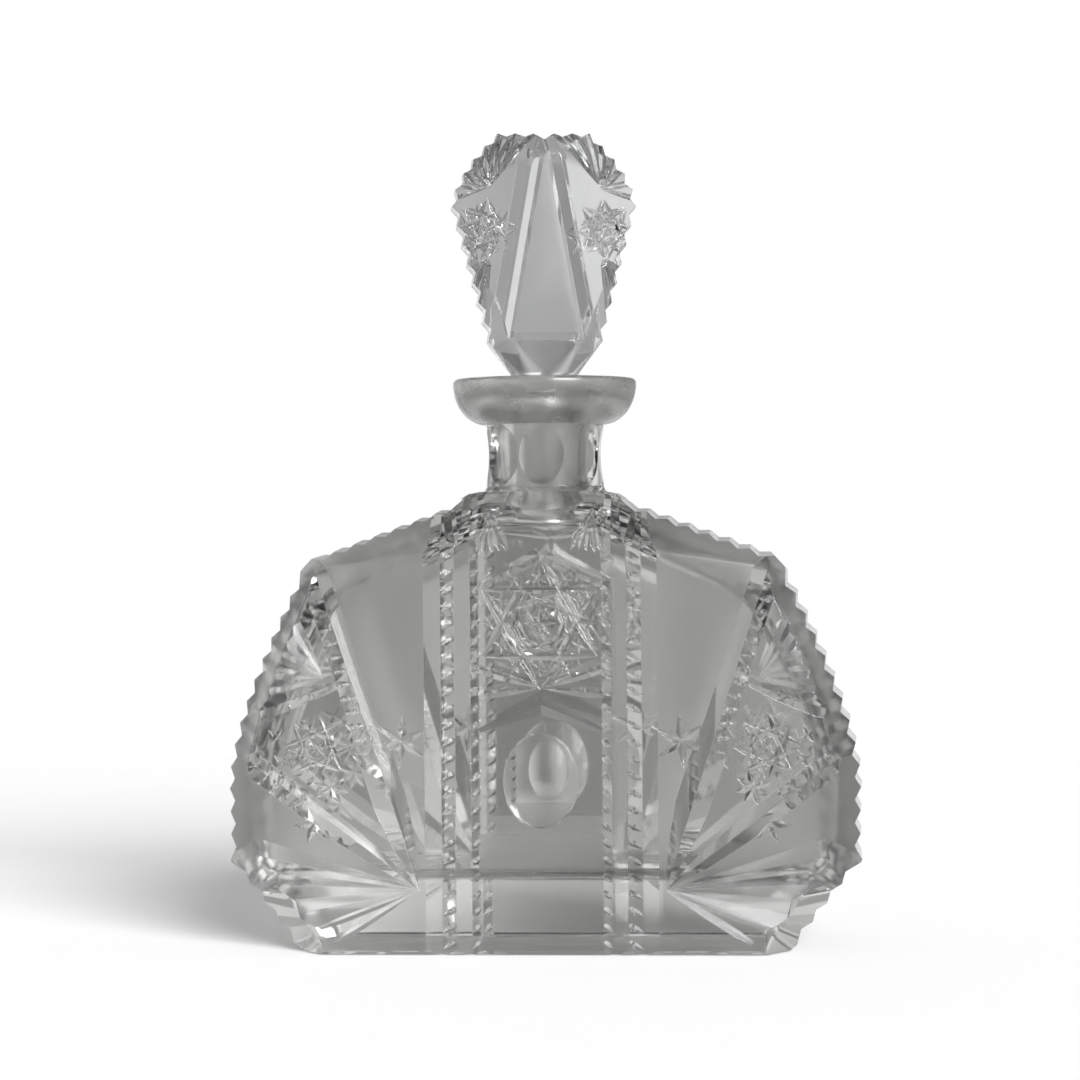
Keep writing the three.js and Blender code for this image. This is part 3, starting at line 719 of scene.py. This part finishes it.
def lens_cutter():
    """A round, dished lens in the middle panel, with a small step round it."""
    rings = [(LENS_OVERSIZE, -LENS_STEP)]
    for i in range(DISH_RINGS):
        share = 1 - (1 - LENS_CORE) * i / (DISH_RINGS - 1)
        rings.append((share, LENS_STEP + (LENS_DEPTH - LENS_STEP) * (1 - share * share)))
    sections = []
    for share, depth in rings:
        radii = (share * LENS_HALF_WIDTH, share * LENS_HALF_HEIGHT)
        outline = arc((0, LENS_Z), radii, 0, 360, DISH_SEGMENTS)[:-1]
        sections.append([Vector((x, FACE_Y + depth, z)) for x, z in outline])
    return loft(sections)


def plaque_cutter():
    """A shallow plain rectangle under the lens, with round upper corners."""
    corner = PLAQUE_ROUNDING
    half = PLAQUE_HALF_WIDTH
    top = arc((half - corner, PLAQUE_TOP - corner), (corner, corner), 0, 90, PLAQUE_SEGMENTS)
    outline = [(half, PLAQUE_FOOT), *top, *[(-x, z) for x, z in reversed(top)], (-half, PLAQUE_FOOT)]
    return loft([[Vector((x, y, z)) for x, z in outline] for y in (FACE_Y - 1, FACE_Y + PLAQUE_DEPTH)])


def chamfer_cutter():
    """The chamfer under the front edge of the base."""
    out = Vector((0, -1, -1)).normalized()
    across = Vector((0, -1, 1)).normalized()
    stations = [(on_face(x, 0), BASE_CHAMFER / math.sqrt(2)) for x in (-HALF_WIDTH, HALF_WIDTH)]
    return v_cut(stations, out, across, CHAMFER_SLOPE)


def quarter_cutters():
    """The polished cuts of the front's right half, apart from its fans and what lies in the middle."""
    return column_cutters() + column_ropes() + ray_cutters() + side_field() + middle_panel()


# Serrated edges

def along(points, count):
    """Even places along a line of points, each with its direction."""
    lengths = [math.dist(a, b) for a, b in zip(points, points[1:])]
    places = []
    for k in range(count):
        rest = sum(lengths) * (k + 0.5) / count
        i = 0
        while rest > lengths[i] and i < len(lengths) - 1:
            rest -= lengths[i]
            i += 1
        a, b = Vector(points[i]), Vector(points[i + 1])
        direction = (b - a).normalized()
        places.append((a + direction * rest, direction))
    return places


def notches(points, notch, half_depth):
    """V-shaped notches across an edge that is given by points in x and z."""
    pitch, depth, slope = notch
    length = sum(math.dist(a, b) for a, b in zip(points, points[1:]))
    cutters = []
    for place, direction in along(points, round(length / pitch)):
        across = Vector((direction.x, 0, direction.y))
        out = Vector((direction.y, 0, -direction.x))
        stations = []
        for y in (-half_depth, 0, half_depth):
            stations.append((Vector((place.x, y, place.y)), depth + NOTCH_SINK * abs(y)))
        cutters.append(v_cut(stations, out, across, slope))
    return cutters


def body_teeth():
    """The notches of the body's edge on the right."""
    temple, waist = TEMPLE[:2], WAIST[:2]
    side = [HIP[:2]] + bent(waist, (waist[0], waist[1] + SIDE_SWELL), temple, CURVE_SEGMENTS)
    reach = NOTCH_OVERRUN - FACE_Y
    return [
        *notches([BROW[:2], PAD[:2]], SHOULDER_NOTCH, reach),
        *notches(side, SIDE_NOTCH, reach),
        *notches([FOOT[:2], KNEE[:2]], CORNER_NOTCH, reach),
    ]


# Materials. Wave and grain depths are in metres.

GLASS_IOR = 1.54
FINISH_VARIATION = 0.2
WAVE_SCALE = 60
WAVE_STRENGTH = 0.1
WAVE_DEPTH = 0.0003
GRAIN_SCALE = 1500
GRAIN_STRENGTH = 0.4


def glass(name, colour, roughness, grain_depth, shine=0.5):
    """Crystal. The finish varies a little, and the surface is a little wavy and has a fine grain.

    Path tracing shows no shine on glass that lets all light through. It is there for plainer viewers.
    """
    material = bpy.data.materials.new(name)
    material.use_nodes = True
    nodes, links = material.node_tree.nodes, material.node_tree.links
    shader = nodes["Principled BSDF"]
    # The base colour is a grey tint of painted shade, standing in for the grey surroundings that the glass
    # shows.
    shader.inputs["Base Color"].default_value = (*colour, 1)
    shader.inputs["IOR"].default_value = GLASS_IOR
    shader.inputs["Specular IOR Level"].default_value = shine
    shader.inputs["Transmission Weight"].default_value = 1
    place = nodes.new("ShaderNodeTexCoord")
    cloud = nodes.new("ShaderNodeTexNoise")
    cloud.inputs["Scale"].default_value = WAVE_SCALE
    cloud.inputs["Detail"].default_value = 2
    links.new(place.outputs["Object"], cloud.inputs["Vector"])
    spread = nodes.new("ShaderNodeMapRange")
    spread.inputs["To Min"].default_value = roughness * (1 - FINISH_VARIATION)
    spread.inputs["To Max"].default_value = roughness * (1 + FINISH_VARIATION)
    links.new(cloud.outputs["Fac"], spread.inputs["Value"])
    links.new(spread.outputs["Result"], shader.inputs["Roughness"])
    soft_edges = nodes.new("ShaderNodeBevel")
    soft_edges.samples = 4
    soft_edges.inputs["Radius"].default_value = EDGE_ROUNDING * MM
    waves = nodes.new("ShaderNodeBump")
    waves.inputs["Strength"].default_value = WAVE_STRENGTH
    waves.inputs["Distance"].default_value = WAVE_DEPTH
    links.new(cloud.outputs["Fac"], waves.inputs["Height"])
    links.new(soft_edges.outputs["Normal"], waves.inputs["Normal"])
    grain = nodes.new("ShaderNodeTexNoise")
    grain.inputs["Scale"].default_value = GRAIN_SCALE
    links.new(place.outputs["Object"], grain.inputs["Vector"])
    tooth = nodes.new("ShaderNodeBump")
    tooth.inputs["Strength"].default_value = GRAIN_STRENGTH
    tooth.inputs["Distance"].default_value = grain_depth
    links.new(grain.outputs["Fac"], tooth.inputs["Height"])
    links.new(waves.outputs["Normal"], tooth.inputs["Normal"])
    links.new(tooth.outputs["Normal"], shader.inputs["Normal"])
    return material


# Their grey tints are painted shade for the grey surroundings the glass shows, set finish by finish to
# each face's tone and darkest on the satin and polished outer faces.
BOTTLE_FINISHES = (
    glass("bottle_satin", (0.47, 0.475, 0.457), 0.46, 0.00003, shine=0.1),
    glass("bottle_polished", (0.56, 0.565, 0.55), 0.07, 0.000005, shine=0.2),
    glass("bottle_clear", (0.82, 0.82, 0.81), 0.05, 0.00001),
    # Dark grey rough glass: painted shade for the lower chevron's cut.
    glass("bottle_cut_painted_shade", (0.15, 0.152, 0.147), 0.5, 0.00003, shine=0.1),
    glass("bottle_lip", (0.84, 0.84, 0.82), 0.27, 0.00001),
    glass("bottle_hazy", (0.82, 0.82, 0.81), 0.24, 0.00001),
)
# The stopper's grey tints are painted shade too, darker on its satin and polished faces.
STOPPER_FINISHES = (
    glass("stopper_satin", (0.53, 0.535, 0.535), 0.36, 0.00003),
    glass("stopper_polished", (0.62, 0.625, 0.625), 0.07, 0.000005),
    glass("stopper_ground", (0.9, 0.9, 0.9), 0.3, 0.00003),
)


# Bottle

def make_bottle():
    bottle = mesh_object("bottle_cut", [body_blank()], SATIN)
    middle = [*panel_star(), lens_cutter(), chamfer_cutter()]
    carve(bottle, on_both_sides(body_teeth()) + on_all_faces(quarter_cutters()) + front_and_back(middle))
    carve(bottle, on_all_faces(corner_fan() + side_fan()), HAZY)
    carve(bottle, front_and_back([plaque_cutter()]), SATIN)
    # The lower chevron's cut takes dark grey glass, painted shade where the cut shows dark.
    carve(bottle, on_all_faces([chevron(*LOWER_CHEVRON)]), PAINTED_SHADE)
    neck = mesh_object("neck", [neck_column()])
    carve(neck, neck_flutes())
    combine(bottle, [neck, mesh_object("lip", [lip_blank()], LIP)], "UNION")
    hollows = [mesh_object("hollow", [body_hollow()], CLEAR), mesh_object("bore", [bore_hollow()], LIP)]
    combine(bottle, hollows, "DIFFERENCE")
    polish_fields(bottle.data)
    finish_piece(bottle, BOTTLE_FINISHES, "bottle")


def polish_fields(mesh):
    """The plain surfaces stay satin, apart from the middle panel, the top, the star fields and the foot.

    The ends of the hollow turn hazy.
    """
    def angle_of(x, z):
        return math.atan2(z - FOCUS[1], x - FOCUS[0])
    temple = temple_end()
    field = (angle_of(*WAIST_RAY_END), angle_of(temple.x, temple.z))
    corner = angle_of(*CORNER_LINE_END)
    for face in mesh.polygons:
        x, y, z = (abs(value) / MM for value in face.center)
        angle = angle_of(x, z)
        in_panel = x < COLUMNS[0][0] and not PLAQUE_FOOT < z < PLAQUE_TOP
        on_flat = y > -FACE_Y - FLAT_WITHIN and abs(face.normal.y) > FLAT_FACING
        on_top = x < COLUMNS[0][0] and z > UPPER_CHEVRON[0]
        at_corner = x > COLUMNS[0][0] and angle < corner
        in_field = field[0] < angle < field[1]
        if face.material_index == SATIN and (on_top or at_corner or in_field or on_flat and in_panel):
            face.material_index = POLISHED
        if face.material_index == CLEAR and y < -FACE_Y - FACE_WALL and x > HAZE_FROM:
            face.material_index = HAZY


def finish_piece(piece, finishes, node):
    """Smooth shading up to the sharp edges, the piece's own finishes, and its place in the frame."""
    piece.data.shade_smooth()
    piece.data.set_sharp_from_angle(angle=math.radians(SHARP_ANGLE))
    for i, finish in enumerate(finishes):
        piece.data.materials[i] = finish
    while len(piece.data.materials) > len(finishes):
        piece.data.materials.pop()
    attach(piece, node)
    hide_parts(node)


# Stopper

def head_side():
    """The head's straight edge, from its foot to where it is widest."""
    return [(HEAD_FOOT_HALF_WIDTH, HEAD_Z), (HEAD_HALF_WIDTH, HEAD_Z + HEAD_WIDEST_RISE)]


def head_shoulder():
    """The head's round edge, from where it is widest to its flat top."""
    widest = (HEAD_HALF_WIDTH, HEAD_Z + HEAD_WIDEST_RISE)
    control = (HEAD_HALF_WIDTH, HEAD_Z + HEAD_SHOULDER_RISE)
    return bent(widest, control, (HEAD_TOP_HALF_WIDTH, HEAD_TOP), CURVE_SEGMENTS)


def panel_corners():
    """The foot and the apex of the raised panel on the head's front, on the right."""
    foot = Vector((PANEL_FOOT_HALF_WIDTH, -HEAD_HALF_DEPTH, HEAD_Z + PANEL_FOOT_RISE))
    apex = Vector((PANEL_APEX_HALF_WIDTH, -HEAD_HALF_DEPTH, HEAD_TOP - PANEL_APEX_DROP))
    return foot, apex


def head_blank():
    """The head swells from its round waist to a raised panel on each face and a narrower edge."""
    waist = arc((0, 0), (HEAD_WAIST_RADIUS,) * 2, 0, 360, TURN_SEGMENTS)[:-1]
    points = [Vector((x, y, WAIST_Z)) for x, y in waist]
    edge = head_side() + head_shoulder()[1:]
    for y in (-HEAD_EDGE_HALF_DEPTH, HEAD_EDGE_HALF_DEPTH):
        points += ring(edge, y)
    for corner in panel_corners():
        points += [Vector((x * corner.x, y * corner.y, corner.z)) for x in (1, -1) for y in (1, -1)]
    return hull(points)


def hull(points):
    """The closed convex form around the points."""
    shape = bmesh.new()
    for point in points:
        shape.verts.new(point)
    made = bmesh.ops.convex_hull(shape, input=shape.verts)
    inside = [item for item in made["geom_interior"] if isinstance(item, bmesh.types.BMVert)]
    bmesh.ops.delete(shape, geom=inside, context="VERTS")
    flat = math.radians(FLAT_ANGLE)
    bmesh.ops.dissolve_limit(shape, angle_limit=flat, verts=shape.verts, edges=shape.edges)
    shape.verts.index_update()
    corners = [vert.co.copy() for vert in shape.verts]
    faces = [tuple(vert.index for vert in face.verts) for face in shape.faces]
    shape.free()
    return closed(corners, faces)


def strip_cutter():
    """One of the bright strips that bound the raised panel."""
    tilt = math.radians(STRIP_TILT)
    out = Vector((math.sin(tilt), -math.cos(tilt), 0))
    foot, apex = panel_corners()
    line = (apex - foot).normalized()
    below = foot - line * 3 * CUT_OVERRUN
    above = apex + line * PANEL_APEX_DROP
    return mitre(below, above, out, [STRIP_DEPTH] * 3)


def head_pattern():
    """A star, a fan and foot cuts on the slope between the raised panel and the serrated edge."""
    foot, apex = panel_corners()
    widest = Vector((HEAD_HALF_WIDTH, -HEAD_EDGE_HALF_DEPTH, HEAD_Z + HEAD_WIDEST_RISE))
    normal = (apex - foot).cross(widest - foot).normalized()
    out = normal if normal.y < 0 else -normal

    def place(x, rise):
        z = HEAD_Z + rise
        y = foot.y - (out.x * (x - foot.x) + out.z * (z - foot.z)) / out.y
        return Vector((x, y, z))
    cutters = chord_star(HEAD_STAR, HEAD_STAR_RADIUS, 8, 3, HEAD_STAR_DEPTH, -90, place, out)
    reach = HEART_SHARE * HEAD_STAR_RADIUS
    for i in range(4):
        angle = math.radians(22.5 + 45 * i)
        x, rise = reach * math.cos(angle), reach * math.sin(angle)
        ends = [place(HEAD_STAR[0] + side * x, HEAD_STAR[1] + side * rise) for side in (1, -1)]
        cutters.append(boat(*ends, out, HEART_DEPTH, FINE_SLOPE))
    depths = [HEAD_FAN_DEPTH * share for share in (0, 0.7, 1)]
    for end, _ in along([*head_shoulder(), (0, HEAD_TOP)], HEAD_FAN_LEAVES):
        tip = Vector((end.x, -HEAD_EDGE_HALF_DEPTH, end.y))
        cutters.append(mitre(place(*HEAD_FAN_APEX), tip, out, depths, HEAD_FAN_SLOPE))
    low = place(HEAD_FAN_APEX[0], HEAD_FOOT_CUTS_RISE)
    for rise in HEAD_FOOT_CUT_ENDS:
        share = rise / HEAD_WIDEST_RISE
        x = HEAD_FOOT_HALF_WIDTH + share * (HEAD_HALF_WIDTH - HEAD_FOOT_HALF_WIDTH)
        end = Vector((x, -HEAD_EDGE_HALF_DEPTH, HEAD_Z + rise))
        cutters.append(mitre(low, end, out, HEAD_FOOT_CUT_DEPTHS))
    return cutters


def head_teeth():
    """The notches of the head's edge on the right."""
    reach = HEAD_HALF_DEPTH + NOTCH_OVERRUN
    top_edge = [(HEAD_TOP_HALF_WIDTH, HEAD_TOP), (HEAD_TOP_NOTCH[0] / 2, HEAD_TOP)]
    return [
        *notches(head_side(), HEAD_NOTCH, reach),
        *notches(head_shoulder(), HEAD_NOTCH, reach),
        *notches(top_edge, HEAD_TOP_NOTCH, reach),
    ]


def head_dip():
    """The deeper dip in the middle of the head's top edge."""
    reach = HEAD_HALF_DEPTH + NOTCH_OVERRUN
    depth, slope = HEAD_DIP
    return v_cut([(Vector((0, y, HEAD_TOP)), depth) for y in (-reach, reach)], UP, RIGHT, slope)


def plug_blank():
    """The ground plug and the round waist over it, up into the head."""
    radius = BORE_RADIUS - PLUG_CLEARANCE
    bottom = STOPPER_LOW.z
    top = WAIST_Z + PLUG_CHAMFER
    end_radius = radius - BORE_TAPER * (BORE_TOP - bottom)
    profile = [(0, bottom), (end_radius - PLUG_CHAMFER, bottom), (end_radius, bottom + PLUG_CHAMFER)]
    profile += [(radius, BORE_TOP), (HEAD_WAIST_RADIUS, WAIST_Z), (HEAD_WAIST_RADIUS, top)]
    return turned([*profile, (0, top)])


def make_stopper():
    stopper = mesh_object("stopper_cut", [head_blank()])
    pattern = on_all_faces([strip_cutter(), *head_pattern()])
    carve(stopper, on_both_sides(head_teeth()) + pattern + [head_dip()])
    combine(stopper, [mesh_object("plug", [plug_blank()])], "UNION")
    for face in stopper.data.polygons:
        y, z = abs(face.center.y) / MM, face.center.z / MM
        if z < BORE_TOP:
            face.material_index = GROUND
        elif y > HEAD_HALF_DEPTH - PANEL_WITHIN:
            face.material_index = SATIN
    stopper.data.transform(Matrix.Rotation(math.radians(STOPPER_TURN), 4, "Z"))
    finish_piece(stopper, STOPPER_FINISHES, "stopper")


# Camera. The picture is PICTURE_WIDTH wide where the object stands.

CAMERA_DISTANCE = 900
CAMERA_AZIMUTH = 4
CAMERA_HEIGHT = 130
CAMERA_ROLL = 0.5
PICTURE_WIDTH = 329.4
AIM = Vector((-1.8, 0, 122.3))


def make_camera():
    data = bpy.data.cameras.new("camera")
    data.lens = data.sensor_width * CAMERA_DISTANCE / PICTURE_WIDTH
    data.clip_start, data.clip_end = 0.01, 100
    camera = bpy.data.objects.new("camera", data)
    bpy.context.scene.collection.objects.link(camera)
    turn = math.radians(CAMERA_AZIMUTH)
    place = Vector((CAMERA_DISTANCE * math.sin(turn), -CAMERA_DISTANCE * math.cos(turn), CAMERA_HEIGHT))
    place.x += AIM.x
    camera.location = place * MM
    look = (AIM - place).to_track_quat("-Z", "Y").to_matrix()
    camera.rotation_euler = (look @ Matrix.Rotation(math.radians(-CAMERA_ROLL), 3, "Z")).to_euler()
    bpy.context.scene.camera = camera


# World, floor and lamp. The camera sees white round the object. The glass sees the panels instead.

WORLD_LIGHT = 0.37
PANEL_COUNT = 13
PANEL_SHIFT = -11.8
GAP_BRIGHTNESS = 0.38
LEFT_GAIN = 0.6
HIGH_BRIGHTNESS = 0.7
HIGH_FROM = 0.08
HIGH_TO = 0.42
FLOOR_DROP = 0.3
FLOOR_RADIUS = 900
FLOOR_COLOUR = 0.8
FLOOR_FADE = (360, 900)
FLOOR_GLOW = 0.1

# What the glass shows of the floor: a smaller round of it, with a painted glow on the left in place of the
# light that falls through the glass to the left.
GLASS_FLOOR_FADE = (120, 420)
PAINTED_CAUSTIC_SPREAD = (-110, 20)
PAINTED_CAUSTIC_GLOW = (0.9, 0)

SUN_FROM = Vector((1, -1.7, 0.85))
SUN_STRENGTH = 6
SUN_ANGLE = 34


def math_node(nodes, links, operation, first, second):
    node = nodes.new("ShaderNodeMath")
    node.operation = operation
    for socket, value in zip(node.inputs, (first, second)):
        if isinstance(value, (int, float)):
            socket.default_value = value
        else:
            links.new(value, socket)
    return node.outputs[0]


def map_range(nodes, links, value, source, target, smooth=False):
    node = nodes.new("ShaderNodeMapRange")
    if smooth:
        node.interpolation_type = "SMOOTHSTEP"
    links.new(value, node.inputs["Value"])
    for name, number in zip(("From Min", "From Max", "To Min", "To Max"), (*source, *target)):
        node.inputs[name].default_value = number
    return node.outputs["Result"]


def mixed(nodes, links, share, first, second):
    """first where share is 0, second where it is 1."""
    rest = math_node(nodes, links, "SUBTRACT", 1, share)
    part = math_node(nodes, links, "MULTIPLY", rest, first)
    other = math_node(nodes, links, "MULTIPLY", share, second)
    return math_node(nodes, links, "ADD", part, other)


def from_glass(nodes, links, ray):
    """1 for the rays that glass mirrors or lets through, 0 for the others."""
    return math_node(nodes, links, "MAXIMUM", ray["Is Glossy Ray"], ray["Is Transmission Ray"])


def make_world():
    """White to the camera. The glass shows a ring of white panels with pale gaps, brighter on the left."""
    world = bpy.data.worlds.new("studio")
    bpy.context.scene.world = world
    world.use_nodes = True
    nodes, links = world.node_tree.nodes, world.node_tree.links
    direction = nodes.new("ShaderNodeTexCoord").outputs["Generated"]
    parts = nodes.new("ShaderNodeSeparateXYZ")
    links.new(direction, parts.inputs[0])
    azimuth = math_node(nodes, links, "ARCTAN2", parts.outputs["Y"], parts.outputs["X"])
    shifted = math_node(nodes, links, "ADD", azimuth, math.radians(PANEL_SHIFT))
    turns = math_node(nodes, links, "MULTIPLY", shifted, PANEL_COUNT)
    wave = math_node(nodes, links, "COSINE", turns, 0)
    panels = map_range(nodes, links, wave, (-1, 1), (1, GAP_BRIGHTNESS))
    height = math_node(nodes, links, "ABSOLUTE", parts.outputs["Z"], 0)
    dimmed = map_range(nodes, links, height, (HIGH_FROM, HIGH_TO), (1, HIGH_BRIGHTNESS), smooth=True)
    side = map_range(nodes, links, parts.outputs["X"], (-1, 1), (1 + LEFT_GAIN, 1 - LEFT_GAIN))
    ring_light = math_node(nodes, links, "MULTIPLY", panels, dimmed)
    in_glass = math_node(nodes, links, "MULTIPLY", ring_light, side)
    ray = nodes.new("ShaderNodeLightPath").outputs
    seen = mixed(nodes, links, from_glass(nodes, links, ray), WORLD_LIGHT, in_glass)
    background = nodes["Background"]
    background.inputs["Color"].default_value = (1, 1, 1, 1)
    links.new(mixed(nodes, links, ray["Is Camera Ray"], seen, 1), background.inputs["Strength"])
    bpy.context.scene.view_settings.view_transform = "Standard"


def make_floor():
    """A pale floor that keeps the shadow near the object and fades into the background."""
    rim = arc((0, 0), (FLOOR_RADIUS,) * 2, 0, 360, FLOOR_SEGMENTS)[:-1]
    mesh = bpy.data.meshes.new("floor")
    mesh.from_pydata([Vector((x, y, -FLOOR_DROP)) * MM for x, y in rim], [], [tuple(range(len(rim)))])
    floor = bpy.data.objects.new("floor", mesh)
    bpy.context.scene.collection.objects.link(floor)
    material = bpy.data.materials.new("floor_paint")
    material.use_nodes = True
    nodes, links = material.node_tree.nodes, material.node_tree.links
    paint = nodes["Principled BSDF"]
    paint.inputs["Base Color"].default_value = (FLOOR_COLOUR, FLOOR_COLOUR, FLOOR_COLOUR, 1)
    paint.inputs["Roughness"].default_value = 0.9
    paint.inputs["Specular IOR Level"].default_value = 0
    paint.inputs["Emission Color"].default_value = (1, 1, 1, 1)
    place = nodes.new("ShaderNodeTexCoord")
    parts = nodes.new("ShaderNodeSeparateXYZ")
    links.new(place.outputs["Object"], parts.inputs[0])
    length = nodes.new("ShaderNodeVectorMath")
    length.operation = "LENGTH"
    links.new(place.outputs["Object"], length.inputs[0])
    ray = nodes.new("ShaderNodeLightPath").outputs
    by_glass = from_glass(nodes, links, ray)
    across = [x * MM for x in PAINTED_CAUSTIC_SPREAD]
    # To the glass the floor glows on its left: painted light in place of the light that falls through the
    # glass.
    caustic_paint = map_range(nodes, links, parts.outputs["X"], across, PAINTED_CAUSTIC_GLOW, smooth=True)
    lift = math_node(nodes, links, "MULTIPLY", ray["Is Camera Ray"], FLOOR_GLOW)
    links.new(mixed(nodes, links, by_glass, lift, caustic_paint), paint.inputs["Emission Strength"])
    fades = []
    for fade_range in (FLOOR_FADE, GLASS_FLOOR_FADE):
        distances = [distance * MM for distance in fade_range]
        fades.append(map_range(nodes, links, length.outputs["Value"], distances, (0, 1), smooth=True))
    clear = nodes.new("ShaderNodeBsdfTransparent")
    mix = nodes.new("ShaderNodeMixShader")
    links.new(mixed(nodes, links, by_glass, *fades), mix.inputs["Fac"])
    links.new(paint.outputs["BSDF"], mix.inputs[1])
    links.new(clear.outputs["BSDF"], mix.inputs[2])
    links.new(mix.outputs["Shader"], nodes["Material Output"].inputs["Surface"])
    mesh.materials.append(material)


def make_sun():
    """A broad lamp from the right front, which lays the soft shadow to the left."""
    data = bpy.data.lights.new("sun", "SUN")
    data.energy = SUN_STRENGTH
    data.angle = math.radians(SUN_ANGLE)
    sun = bpy.data.objects.new("sun", data)
    bpy.context.scene.collection.objects.link(sun)
    sun.rotation_euler = (-SUN_FROM).to_track_quat("-Z", "Y").to_euler()


make_camera()
make_world()
make_floor()
make_sun()
make_bottle()
make_stopper()
